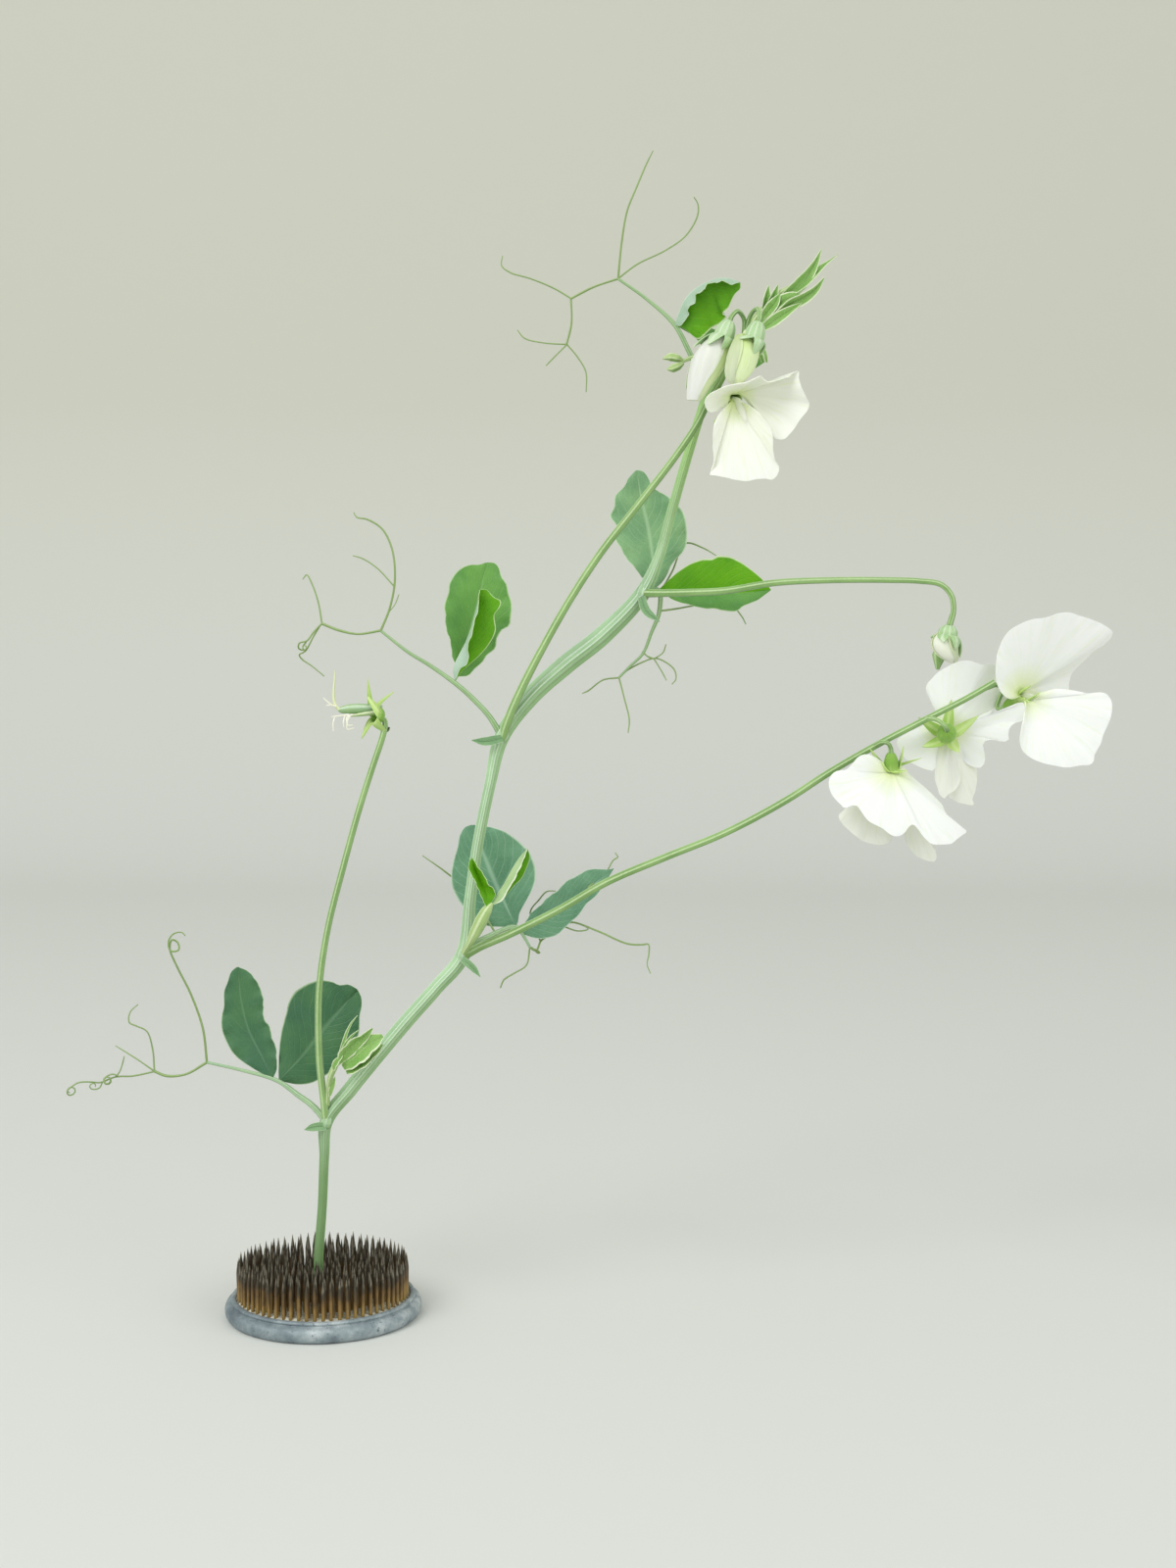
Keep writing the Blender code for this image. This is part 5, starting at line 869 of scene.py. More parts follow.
tip = Skin()
strand(tip, [(145.2, 3, 339.1), (148.4, 3, 344), (151.7, 3, 347.6), (156.3, 3, 352.2),
             (160.9, 3, 355.4)], [1.2, 1.5, 1.6, 1.2, 0.4], 0.7, 14, ribbed, 2)
for spine, halves, facing, fold in (
        ([(155.9, 2, 350.4), (159.4, 1.4, 352.9), (163.3, 1.2, 356.5), (166.9, 1.4, 361.1),
          (169.9, 1.8, 367)],
         [0.8, 2.6, 3.1, 2.5, 1.4, 0.1], (0.5, -1, 0), (40, 35)),
        ([(158.2, 1.6, 351), (162.7, 1.2, 353.6), (166.7, 1.6, 357.2), (170.7, 2.4, 361.2),
          (175.7, 3.2, 365.3)],
         [0.8, 2.1, 2.5, 1.8, 0.7, 0.1], (-0.3, -1, 0.3), (38, 45)),
        ([(150.9, 0, 341.7), (154.7, -0.6, 344.5), (159.3, -1, 348.4), (163.9, -1, 350.7),
          (167.5, -0.6, 353.3), (170.8, 0, 357.3)],
         [0.8, 2.2, 2.8, 2.6, 1.8, 0.2], (0.3, -1, -0.3), (42, 32)),
        ([(149.4, 2, 341.6), (152.9, 0.8, 345.3), (156.7, 0.2, 348.9), (161.3, 0, 350.8),
          (164.7, 0.4, 350.9)],
         [0.8, 2.4, 2.8, 2.2, 0.4], (-0.4, -1, 0.4), (30, 36)),
        ([(150.7, 2, 345.5), (150.9, 1.2, 348.6), (151.5, 1, 351.5), (152.2, 1.4, 354.8)],
         [0.7, 1.7, 2.0, 1.3, 0.15], (0.5, -1, 0), (38, 42)),
        ([(151.4, 2.4, 344.9), (152.6, 1.6, 348), (153.9, 1.6, 351.3), (155.5, 2, 355.3)],
         [0.7, 1.8, 2.1, 1.4, 0.15], (0.3, -1, 0), (44, 40)),
        ([(150.3, 1.4, 343.5), (152.1, 0, 345.9), (154.1, -0.4, 348.4), (156, 0, 351.7)],
         [0.7, 2.1, 2.5, 1.8, 0.3], (-0.2, -1, 0), (36, 36)),
        ([(149, 0.6, 339.4), (151.8, -1, 340.9), (155, -1.8, 343.1), (159.2, -2, 346),
          (163.2, -1.6, 348.6)],
         [0.7, 2.0, 2.5, 2.1, 1.3, 0.2], (0.4, -1, 0.6), (36, 30)),
        ([(148.5, -2, 334.6), (149.1, -3, 332.5), (149.8, -3, 330.6), (150.5, -2.6, 328.7)],
         [0.6, 0.9, 0.9, 0.7], (-0.6, -1, 0), (20, 20)),
        ([(149.8, -1.6, 334.6), (150.5, -2.2, 332.6), (151.1, -2.2, 330.7), (151.5, -1.8, 328.8)],
         [0.5, 0.8, 0.8, 0.5], (0.6, -1, 0), (20, 20))):
    lance(tip, spine, halves, facing, fold, finishes=(3, 1), rows=28, cols=13, ripple=0.12, waves=4, puff=0.15)
tip.piece("tip_leaves", young, ["tip_shoot"], "shoot_yellow_green")

beads = Skin()
strand(beads, [(136.4, 2.0, 327.5), (132.0, -1, 331.6), (126.8, -2, 330.4), (122.4, -3, 328.6)],
       [0.9, 0.8, 0.8, 0.6], 0.6, 12, ribbed, 2)
for points in ([(123.6, -2.8, 329.0), (121.6, -3, 330.0), (119.0, -3, 330.4), (116.6, -3, 329.8)],
               [(123.6, -2.9, 328.4), (121.8, -3.1, 327.4), (119.8, -3.3, 326.6), (118.0, -3.4, 326.2)]):
    strand(beads, points, [0.5, 1.45, 1.5, 0.25], 0.4, 14, ribbed, 2)
lance(beads, [(126.8, -2, 330.6), (125.4, -2.8, 325.4), (124.4, -3, 319.8)], [0.4, 1.6, 1.5, 0.1], (0.6, -1, 0),
      (44, 44), finishes=(3, 1), rows=16, cols=9, ripple=0.05)
beads.piece("tiny_bud_beads", young, ["tiny_buds"], "shoot_yellow_green")


# Flowers: each sits in a green calyx of five pointed teeth. A broad standard petal stands
# behind two wing petals, and the small keel lies between them. The petals are one thin sheet
# each and ivory white, with a green-yellow flush where they narrow into the throat.

CUP_FLOOR, CUP_RADIUS, MOUTH = 3.6, 2.35, 6.0


def petal_finish(name, foot, flush, field, rim):
    """Petal: thin, soft and satin, lit through by what stands behind it. Fine veins fan from
    the foot, and v of the UV map runs from 0 there to 1 at the rim."""
    made, tree, shader = finish_of(name, 0.55, Sheen_Weight=0.25, Subsurface_Weight=0.35,
                                   Subsurface_Radius=(1.0, 1.0, 0.7), Subsurface_Scale=0.0015)
    spot = add(tree, "UVMap", {"uv_map": "UVMap"})
    parts = add(tree, "SeparateXYZ", {}, {"Vector": (spot, "UV")})
    place = add(tree, "TexCoord", {})
    cloud = add(tree, "TexNoise", {"Scale": 90.0, "Detail": 3.0}, {"Vector": (place, "Object")})
    shift = add(tree, "Math", {"operation": "MULTIPLY_ADD", 1: 0.16, 2: -0.08}, {0: (cloud, "Fac")})
    reach = add(tree, "Math", {"operation": "ADD"}, {0: (parts, "Y"), 1: (shift, 0)})
    tone = add(tree, "ValToRGB", {"stops": [(0.0, foot), (0.12, flush), (0.34, field), (1.0, rim)]},
               {"Fac": (reach, 0)})
    fan = add(tree, "Mapping", {"Scale": (60.0, 2.2, 1.0)}, {"Vector": (spot, "UV")})
    streak = add(tree, "TexNoise", {"Scale": 1.0, "Detail": 3.0, "Distortion": 0.4}, {"Vector": (fan, 0)})
    vein = add(tree, "MapRange", {"From Min": 0.52, "From Max": 0.70, "To Max": 0.35}, {"Value": (streak, "Fac")})
    whole = add(tree, "Mix", {"data_type": "RGBA", 7: srgb(flush)}, {0: (vein, 0), 6: (tone, "Color")})
    tree.links.new(whole.outputs[2], shader.inputs["Base Color"])
    relief = add(tree, "Bump", {"Strength": 0.35, "Distance": 0.0003}, {"Height": (streak, "Fac")})
    tree.links.new(relief.outputs[0], shader.inputs["Normal"])
    return made


calyx_skin = stem_finish("calyx skin", "#b9d57a", "#c9df94", "#a3ca5c", 10, shade="#93bb50", cup="#74a82c")
hairy_calyx = stem_finish("hairy calyx skin", "#b2cf9e", "#c9dcba", "#9fc487", 10, shade="#93ba76")
petal_white = petal_finish("ivory white petal", "#b9d070", "#e2ecc0", "#f0f3ec", "#f3f5f0")
petal_cream = petal_finish("cream petal", "#b3cd62", "#dbe7b2", "#edf0df", "#f0f2e6")
petal_lime = petal_finish("lime petal", "#a6c55c", "#bfd783", "#d3e4aa", "#e2ecc6")


def calyx(skin, seat, tips, mouth_r=3.0, mouth=MOUTH, hug=0.25):
    """A thin bell whose five broad teeth reach to the given tips. hug is how far they bow out."""
    tips = np.asarray(tips, float)
    away = tips - seat.place
    bearing = np.arctan2(away @ seat.up, away @ seat.side)
    tips, bearing = tips[np.argsort(bearing)], np.sort(bearing)
    middles = 2 * pi * (np.arange(5) + 0.5) / 5
    turns = 2 * pi * np.arange(70) / 70 + np.angle(np.exp(1j * (bearing - middles)).mean())
    bell = np.array([(0.27, 0.0), (0.50, 0.06), (0.70, 0.18), (0.87, 0.37), (0.97, 0.57), (1.0, 0.77), (1.0, 0.95)])
    rows = [seat.at(r * np.cos(turns), r * np.sin(turns), np.full(70, h)) for r, h in bell * (mouth_r, mouth)]
    count, tooth = np.arange(70) // 14, np.arange(70) % 14 / 7 - 1
    foot = rows[-1]
    centre, tips = foot.reshape(5, 14, 3)[:, 7][count], tips[count]
    elbow = centre + (centre - seat.at(0, 0, mouth * 0.95)) * hug + seat.axis * 0.9
    keen = 1 - np.abs(tooth) ** 1.1
    for q in np.linspace(0.08, 1, 11):
        w = (q * keen)[:, None]
        spine = centre * (1 - w) ** 2 + 2 * w * (1 - w) * elbow + w**2 * tips
        rows.append(spine + (foot - centre) * (1 + 1.5 * w) / np.maximum(1 - w, 0.02) ** 0.08)
    middle = np.array(rows)
    u, v = np.meshgrid(np.linspace(0, 1, 71), np.linspace(0, 1.2, len(middle)))
    sheet(skin, middle, 0.35, np.stack([u, v], -1), (0, 0), closed=True)


def petal(skin, foot, throat, across, edge, bulge, claw, neck, ruffle=0.5, waves=3.5, frill=0.16,
          pleats=7.0, rows=34, cols=97, thick=0.28, finish=0):
    """A petal on its narrow claw. edge is its rim from one side of the throat round to the other
    and bulge how far its middle stands off a flat fan. ruffle and frill wave it. v of its UV
    map is the distance from the throat, as a share of the farthest."""
    t = np.linspace(0, 1, cols)
    rim = resample(edge, t)
    across = across / np.linalg.norm(across)
    across = across * np.sign(np.dot(across, rim[-1] - rim[0]))
    offsets = (2 * t - 1)[:, None] * across
    start, narrow = foot + offsets * claw, throat + offsets * neck
    length = np.linalg.norm(rim - throat, axis=1)
    share = length / length.max()
    shares = np.linspace(0, 1, rows)
    grid = [start * (1 - q) + narrow * q for q in (0, 0.35, 0.7)]
    for q in shares:
        middle = (narrow + rim) / 2 + np.asarray(bulge, float) * share[:, None]
        grid.append((1 - q) ** 2 * narrow + 2 * q * (1 - q) * middle + q**2 * rim)
    grid = np.array(grid)
    normal = np.cross(np.gradient(grid, axis=1), np.gradient(grid, axis=0))
    normal /= np.maximum(np.linalg.norm(normal, axis=2), 1e-9)[:, :, None]
    q = shares[:, None]
    around = np.concatenate([[0], np.cumsum(np.linalg.norm(np.diff(rim, axis=0), axis=1))])
    lift = ruffle * q**2 * np.sin(2 * pi * waves * t)
    lift = lift + frill * q**6 * (np.sin(around / 1.5 + 1) + 0.6 * np.sin(around / 0.71))
    lift = lift + 0.10 * np.sin(pi * q) * np.sin(2 * pi * pleats * t + 0.6)
    grid[3:] += normal[3:] * (lift * share)[:, :, None]
    v = np.concatenate([[0.0, 0.02, 0.04], 0.06 + 0.94 * shares])[:, None] * share
    u = np.ones_like(v) * t
    sheet(skin, grid, thick * (1.3 - 0.6 * v), np.stack([u, v], -1), (finish, finish))


def bloom(letter, standard, wings, keel, bulges, tips, mouth_r=3.0, neck=(1.4, 1.45),
          finishes=(petal_white, petal_cream), level=True):
    """One open flower: its calyx, standard, two wings and keel. neck is half the width of the
    standard's claw and how far it lies from the axis. finishes are for the standard and for the
    wings, whose claws are level or upright."""
    name, seat, floor = "bloom_" + letter, Seat("bloom_" + letter), CUP_FLOOR + 0.3
    cup = Skin()
    calyx(cup, seat, tips, mouth_r)
    cup.piece(name + "_calyx_bell", [calyx_skin], [name + "_calyx"], "calyx_green")
    back = Skin()
    petal(back, seat.at(0, 1.3, floor), seat.at(0, neck[1], MOUTH + 0.6), seat.side, standard, bulges[0],
          1.0, neck[0], 0.6, 3.5)
    back.piece(name + "_standard_petal", [finishes[0]], [name + "_standard"], "petal_white")
    for side, edge, bulge, sign in (("left", wings[0], bulges[1], -1), ("right", wings[1], bulges[2], 1)):
        wing = Skin()
        petal(wing, seat.at(1.5 * sign, -0.35, floor), seat.at(1.1 * sign, -0.6, MOUTH + 1.6),
              seat.side if level else seat.up, edge, bulge, 0.6, 1.3, 0.4, 2.0, pleats=4.0, rows=28, cols=81)
        wing.piece(f"{name}_wing_{side}_petal", [finishes[1]], [f"{name}_wing_{side}"], "petal_white")
    boat = Skin()
    strand(boat, [seat.at(0, -0.7, floor), seat.at(0, -0.7, MOUTH + 2.4), *keel],
           [0.9, 1.3, 1.9, 2.0, 1.4, 0.4], 0.5, 16, plain, 0, 0.7)
    boat.piece(name + "_keel_petals", [petal_cream], [name + "_keel"], "petal_white")


bloom("a",
      [(237.5, -12, 217.4), (234.3, -15, 216.5), (231.4, -18, 217), (229.1, -19.5, 219),
       (227.7, -20, 221.9), (227.1, -21, 225.2), (227.2, -22, 228.8), (227.8, -22, 232.7),
       (229.3, -22, 236.6), (231.5, -22, 239.5), (234.5, -21.5, 241.5), (238.4, -21, 243.1),
       (243.2, -20, 243.8), (248, -18.5, 245.1), (251.9, -17, 245.4), (256.6, -15, 244.1),
       (261.2, -12.5, 242.8), (265.4, -10, 241.1), (268.5, -7, 239.1), (268.9, -4, 237.4),
       (267.9, -1.5, 235.7), (266, 1.5, 233.3), (263.5, 5, 229.8), (260.9, 8, 226),
       (258.8, 9, 223.3), (258, 8, 221), (257, 5, 218.4), (251.4, -1, 217.3), (245.8, -7, 216.9)],
      ([(238.6, -15, 215.6), (237.7, -18, 212.8), (236.8, -20, 208.9), (236, -21, 205.4),
        (235.7, -21, 202.5), (236.8, -20.5, 199.5), (239.3, -20, 197.2), (243, -19.5, 195.5),
        (247.4, -19, 194.5), (251.8, -18.5, 193.8), (256.6, -17.5, 194.4), (260, -17, 194.7),
        (261.4, -16.5, 196), (261.6, -16.5, 198.3), (263.3, -16, 200.6), (264.7, -15.5, 204.5),
        (266.7, -15, 208.8), (267.8, -14, 213.6), (267.5, -13.5, 216.2), (266.1, -13.5, 217.9),
        (264.1, -13.5, 218.5), (260.1, -14, 218.2), (256.1, -14, 218.9), (252.8, -14, 219.5),
        (249.5, -14, 219.8), (246.5, -13, 219.1), (243.4, -12, 218.1)],
       [(241.3, -10, 215.3), (241.2, -6, 208.8), (241.9, -3, 203), (244.6, -2, 197.5),
        (250.2, -1, 194.1), (256.3, -1, 193.1), (261.6, -1, 193.8), (265, -2, 196.9),
        (267, -3, 202), (268.6, -4, 208.8), (268.6, -5, 214.5), (264, -6, 216.5),
        (256.1, -7, 217.6), (247.4, -9, 217.3)]),
      [(245.5, -12.0, 212.4), (250.9, -12.0, 207.5), (253.7, -12.0, 201.6)],
      [(2, -3, 1), (3, -4, 1), (2, 1, 1)],
      [(239.9, -16, 220.9), (243.4, -15, 218.9), (239.4, -16, 215.6), (236.6, -10, 215.3),
       (238.5, -10, 220.6)], 2.0, finishes=(petal_white, petal_white), level=False)
bloom("b",
      [(210, -13, 198.2), (208.6, -12, 192.2), (205.9, -12.5, 192.5), (202.4, -13.5, 193.9),
       (199.3, -14.5, 195.6), (197.5, -15, 197.3), (196.1, -15.5, 199.7), (195.3, -16, 202.3),
       (198.4, -15, 204.6), (203.2, -13.5, 206.8), (207.9, -12.5, 209.4), (210.6, -12, 212.3),
       (209.4, -11, 214.6), (207.4, -11, 216.6), (205.7, -11, 219.2), (205.7, -11, 220.9),
       (207.3, -11, 222.8), (209.5, -11.5, 225.2), (212, -12, 226.8), (215.2, -12, 228.5),
       (218.5, -12, 229.2), (221.2, -12, 228.8), (223.5, -12, 227.9), (226.8, -12, 227.9),
       (231.1, -10, 225.9), (234.6, -8, 222.2), (235.9, -5, 217.7), (233.6, -5, 214.7),
       (229.1, -8, 211.9), (227.6, -13, 210.8), (232.1, -16.5, 213), (237, -18, 215.4),
       (237.7, -18, 212.4), (237.1, -18, 209.5), (234.6, -17.5, 208.8), (232.7, -17.5, 206.8),
       (232.4, -17.5, 204.5), (232.5, -17.5, 202.5), (229.1, -16, 202.4), (226, -15.5, 202.7),
       (224.4, -15, 201.7), (225.3, -14, 198.3), (225.6, -13, 195.3), (224.4, -12.5, 193.3),
       (222.5, -12, 193.2), (219.5, -12, 194.5), (217, -12.5, 196.9)],
      ([(209.6, -13, 200.2), (209.1, -12.5, 195.9), (208.9, -12, 192.5), (209.1, -11.5, 189.1),
        (210.2, -11, 185.8), (211.2, -11, 183.5), (212.6, -11, 182.5), (213.6, -11, 183.8),
        (216.1, -11.5, 185.5), (217.6, -12, 189.2), (217.1, -12.5, 194.2), (214.6, -13, 199.2)],
       [(212.5, -12, 199.5), (213.2, -10, 194), (213.8, -9, 189), (214, -8.5, 183.6),
        (216.8, -8, 181.5), (220.1, -8, 180.5), (223.1, -8, 180.2), (222.7, -8, 181.6),
        (223.6, -8.5, 185.6), (223.6, -9.5, 190.7), (222.8, -10, 194.1), (220.3, -11, 197.4),
        (216.7, -12, 200.1)]),
      [(212.4, -8.5, 199.8), (212.2, -7.3, 195.8), (214.6, -6.5, 194.2)],
      [(0.5, 3, 0), (-0.5, 1, 0), (1, -1, 0)],
      [(222.2, -19, 211.1), (213.3, -17, 216.5), (202, -19, 210.4), (203.3, -20, 200.6),
       (216.1, -18, 198.6)], 3.0, (1.6, 1.75))
bloom("c",
      [(197.3, -17, 193.8), (198.5, -16, 192.5), (199.9, -15.5, 190.8), (201.9, -15, 189.1),
       (204, -15, 187.1), (207.2, -15.5, 184.5), (210.4, -16.5, 181.3), (212.8, -18, 177.5),
       (215, -19, 175), (217.2, -20, 173.4), (218.7, -21, 172.6), (216.5, -22.5, 171.1),
       (214.7, -23.5, 170.2), (212.5, -25, 168.7), (209.7, -26.5, 168.6), (207.1, -28, 168.7),
       (205.1, -28.5, 169.1), (203.4, -29, 170.8), (202, -29.5, 172.8), (200.7, -29.5, 174.4),
       (199.4, -29.5, 175.7), (197.7, -30, 174.8), (196.4, -30, 172.8), (194.7, -30.5, 171.9),
       (192.7, -31, 171.9), (190.8, -31, 172.9), (188.8, -31, 174.5), (186.6, -31, 175.5),
       (184, -30.5, 177), (182.1, -30, 179.6), (180.8, -29.5, 181.5), (179.3, -29, 181.7),
       (176.8, -28.5, 180.7), (175.5, -28, 182), (174, -27, 183.5), (172.7, -26.5, 185.1),
       (171.8, -26, 187.6), (171.8, -25.5, 189.9), (172.8, -25, 191.8), (174.8, -24.5, 193),
       (177.1, -24.2, 193), (179.1, -24, 194.6), (180.7, -23.8, 196.6), (182.3, -23.5, 197.9),
       (184.7, -23, 198.2), (187.4, -22, 197.1), (190.2, -21, 195.4)],
      ([(184.2, -15, 189.3), (180.3, -14.5, 185), (178.3, -16, 179.2), (176.2, -17, 177),
        (177.4, -18, 174.4), (179.4, -18, 172.4), (181.7, -18.5, 170.5), (184, -18.5, 168.9),
        (187.4, -18, 167.8), (190.8, -17, 167.4), (193.2, -16.5, 168), (194.6, -15.5, 170.2),
        (195, -14.5, 176.1), (194.1, -15, 184.4)],
       [(196.9, -14, 184.3), (198.1, -11, 175.8), (199.2, -11, 170.1), (200.1, -12, 166.9),
        (201.5, -12, 164.9), (203.5, -12, 162.9), (205.8, -12, 161.9), (208.2, -12, 161.2),
        (209.8, -12, 161.6), (209.7, -12, 164.9), (208.4, -12, 167.6), (206.7, -11.5, 171.5),
        (204.1, -11, 177.4), (199.7, -13, 184.9)]),
      [(194.5, -15, 186.6), (194.4, -12.4, 181.5), (195.6, -10, 174.6)],
      [(0, -4.5, 0), (-1, 1, 0), (1, 2, 0)],
      [(203.4, -20, 197), (196.8, -22, 201.1), (185.6, -23, 200.1), (189.4, -22, 195.8),
       (198.2, -22, 192.9)], 2.3)
bloom("d",
      [(137.7, -14, 313.3), (135.4, -15, 312.2), (133, -17, 310.8), (131, -18, 311),
       (129.9, -20, 313.4), (130.8, -21.5, 315.5), (133.3, -22.5, 317), (136.4, -23, 318.5),
       (140.3, -23, 319.5), (143.5, -23, 320.5), (146.1, -22.5, 321.8), (148, -22, 322.5),
       (149.4, -21, 321.3), (151, -20.5, 320.7), (154.3, -19.5, 321.2), (157.7, -17.5, 322),
       (159.1, -16.5, 323.4), (161.1, -16, 324.4), (161.1, -16, 322.2), (162.1, -16, 319.6),
       (163.8, -15.5, 316.5), (164.9, -15, 314), (164.2, -15, 311.7), (162.3, -15, 309.5),
       (160.4, -15, 306.9), (158.4, -15.5, 304.3), (156.5, -16, 302.3), (154.9, -16, 302),
       (153.2, -16, 302.6), (152.3, -15, 305.6), (150.4, -14, 308.5), (147.9, -13, 311.5)],
      ([(138.3, -15, 313.5), (136.2, -18, 311.4), (134.4, -20, 309.3), (133.1, -22, 306.6),
        (132.7, -23, 302.7), (132.8, -23, 297.9), (132.8, -22.5, 294.7), (132.2, -21.5, 292.2),
        (131.6, -21, 290.3), (134.2, -22, 289.7), (137.4, -22, 289), (140.6, -22, 288.4),
        (143.9, -22, 288.1), (147.1, -21.5, 288.8), (150.4, -21, 289.1), (152.4, -20.5, 288.8),
        (154, -20, 290.2), (154.6, -20, 292.4), (153.3, -20, 294.3), (152.6, -20.5, 297.5),
        (152.5, -21, 301.3), (152.1, -21, 304.5), (150.9, -20.5, 307.1), (149, -19.5, 309.4),
        (146.5, -18, 312), (144.1, -15, 313.6)],
       [(139.8, -12, 311.6), (138.1, -9, 307.9), (137.2, -8, 302.8), (138.2, -8, 297.3),
        (142.8, -9, 294.3), (147.9, -10, 294.3), (151.1, -10.5, 297.2), (151.7, -11, 302),
        (150.6, -12, 306.4), (147, -12, 310.9)]),
      [(143.4, -13.4, 310.0), (144.2, -13.4, 305.5), (145.0, -13.2, 300.0)],
      [(1, 2.5, 1), (0, -3, 0), (1, 1, 0)],
      [(141.0, -7.5, 319.6), (134.6, -8.0, 319.4), (131.9, -8.5, 312.6), (133.3, -10, 308.0),
       (141.5, -9, 311.5)], 2.6, (2.0, 1.6), (petal_cream, petal_cream))


# Buds: closed flowers, their petals still rolled round each other in a deep calyx. The standard
# is wrapped outside, with its free edge down one side.


def pod_between(skin, left, right, depth, finish=0, sides=28):
    """A closed rounded body between two outlines that are seen from the front."""
    places = np.linspace(0, 1, 30)
    one, other = resample(left, places), resample(right, places)
    turns = 2 * pi * np.arange(sides) / sides
    centre, half = (one + other) / 2, np.linalg.norm(other - one, axis=1) / 2
    across = (other - one) / (2 * half)[:, None]
    rings = centre[:, None] + half[:, None, None] * (np.cos(turns)[:, None] * across[:, None]
                                                    - depth * np.sin(turns)[:, None] * np.array([0, 1, 0]))
    v, u = np.meshgrid(places, np.linspace(0, 1, sides + 1), indexing="ij")
    skin.grid(rings[:, ::-1], np.stack([u, v], -1), finish, closed=True)
    skin.lid(rings[0], (0, 0), finish)
    skin.lid(rings[-1][::-1], (0, 1), finish)


def wrap(skin, left, right, depth, start, end, grow, finish=0, lean=0.0):
    """A petal rolled over that body, from one angle to another. lean carries its free edge
    round as it runs down, in radians, and grow is how far it stands off."""
    places = np.linspace(0, 1, 34)
    one, other = resample(left, places), resample(right, places)
    centre, half = (one + other) / 2, np.linalg.norm(other - one, axis=1) / 2
    across = (other - one) / (2 * half)[:, None]
    rows = []
    for q, c, h, a in zip(places, centre, half, across):
        turn = np.linspace(start, end + lean * q, 41)
        lip = 1 + grow * (1 + 0.9 * np.exp(-((turn - turn[-1]) / 0.2) ** 2)) / max(h, 1.0)
        lip = lip + 0.02 * np.sin(9 * turn + 7 * q)
        rows.append(c + h * (np.cos(turn) * lip)[:, None] * a
                    - h * depth * (np.sin(turn) * lip)[:, None] * np.array([0, 1, 0]))
    v, u = np.meshgrid(np.linspace(0.15, 1, 34), np.linspace(0, 1, 41), indexing="ij")
    sheet(skin, np.array(rows), 0.25, np.stack([u, v], -1), (finish, finish))


def bud(name, left, right, tips, inner, outer, slot, depth, folds, mouth=MOUTH):
    """A closed flower: the rolled inner petals and the folds of the standard over them."""
    seat = Seat(name)
    cup = Skin()
    calyx(cup, seat, tips, 3.2, mouth, 0.6)
    cup.piece(name + "_calyx_bell", [hairy_calyx], [name + "_calyx"], "calyx_green")
    roll = Skin()
    strand(roll, [seat.at(0, 0, CUP_FLOOR + 0.3), seat.at(0, 0, mouth), (np.add(left[0], right[0]) / 2)],
           [1.6, 2.0, 1.8], 0.6, 20, plain, 0, 0.8)
    pod_between(roll, left, right, depth)
    for start, end, grow, lean in folds:
        wrap(roll, left, right, depth, start, end, grow, 1, lean)
    roll.piece(name + "_rolled_petals", [inner, outer], [name + "_petals"], slot)


bud("bud_e1",
    [(135, -12.4, 337.8), (130.1, -12.6, 334), (127.5, -12.8, 330.7), (125.9, -13, 326.8),
     (125, -13.4, 322.6), (124.7, -13.8, 318.4), (124.7, -14, 315.2)],
    [(137.6, -12.4, 337.2), (138.6, -12.6, 334), (138.3, -12.8, 330.1), (137.3, -13, 326.9),
     (135.4, -13.4, 323.6), (133.1, -13.8, 320.7), (129.2, -14, 314.9)],
    [(126.2, -14, 332.5), (130.9, -16.5, 332.9), (135.4, -16.5, 331.6), (138.6, -13, 331.1),
     (132.6, -9, 336.9)],
    petal_lime, petal_cream, "petal_cream", 0.75,
    [(4.4, 0.9, 0.12, 0.35), (2.9, 5.6, 0.3, -0.4)])
bud("bud_e2",
    [(140.5, -17.4, 336), (138.3, -17.6, 331.5), (137.3, -17.9, 327), (137, -18.2, 323.8),
     (137.7, -18.5, 321.2), (139.6, -18.6, 319.6)],
    [(144, -17.4, 336.6), (147, -17.6, 333.4), (147.9, -17.9, 330.9), (147.3, -18.2, 327.3),
     (145.7, -18.5, 323.8), (142.2, -18.6, 319.9)],
    [(138.2, -18, 331.5), (141.6, -20.5, 334.4), (145.5, -21, 329.2), (148.3, -17.5, 329.6),
     (144.6, -14, 333.2)],
    petal_lime, petal_lime, "petal_cream", 0.8,
    [(5.2, 1.6, 0.15, 0.4), (1.9, 5.0, 0.3, 0.3)])
bud("bud_f",
    [(212.4, -4.2, 239.2), (209.4, -4.2, 237.5), (208.4, -4.3, 234.9), (209.1, -4.4, 232.6),
     (210.8, -4.5, 230.6), (213.8, -4.6, 228.6)],
    [(215.7, -4.2, 239.2), (216.7, -4.2, 236.6), (217.1, -4.3, 233.6), (217.1, -4.4, 231.3),
     (217.1, -4.5, 229.3), (215.8, -4.6, 227.9)],
    [(207.8, -4.8, 236.6), (211.6, -9.2, 235.2), (215.8, -8.4, 232.6), (217.9, -4.6, 229.8),
     (213.5, 0.2, 232.5)],
    petal_cream, petal_lime, "bud_lime", 0.9,
    [(-1.4, 1.75, 0.12, -0.9), (5.0, 2.8, 0.2, 0.1)], 3.4)


# Spent flower: the petals have dropped. The bell stands wide open round the young pod, which
# still carries its bent style, and the withered stamens hang below as white threads.

seat = Seat("spent")
cup = Skin()
calyx(cup, seat, [(17.5, -9, 222.8), (26.1, -6, 217.7), (24.0, -9, 204.2), (15.5, -10, 202.0),
                  (17.4, -11, 216.4)], 2.9, 3.2)
cup.piece("spent_calyx_bell", [calyx_skin], ["spent_calyx"], "calyx_green")

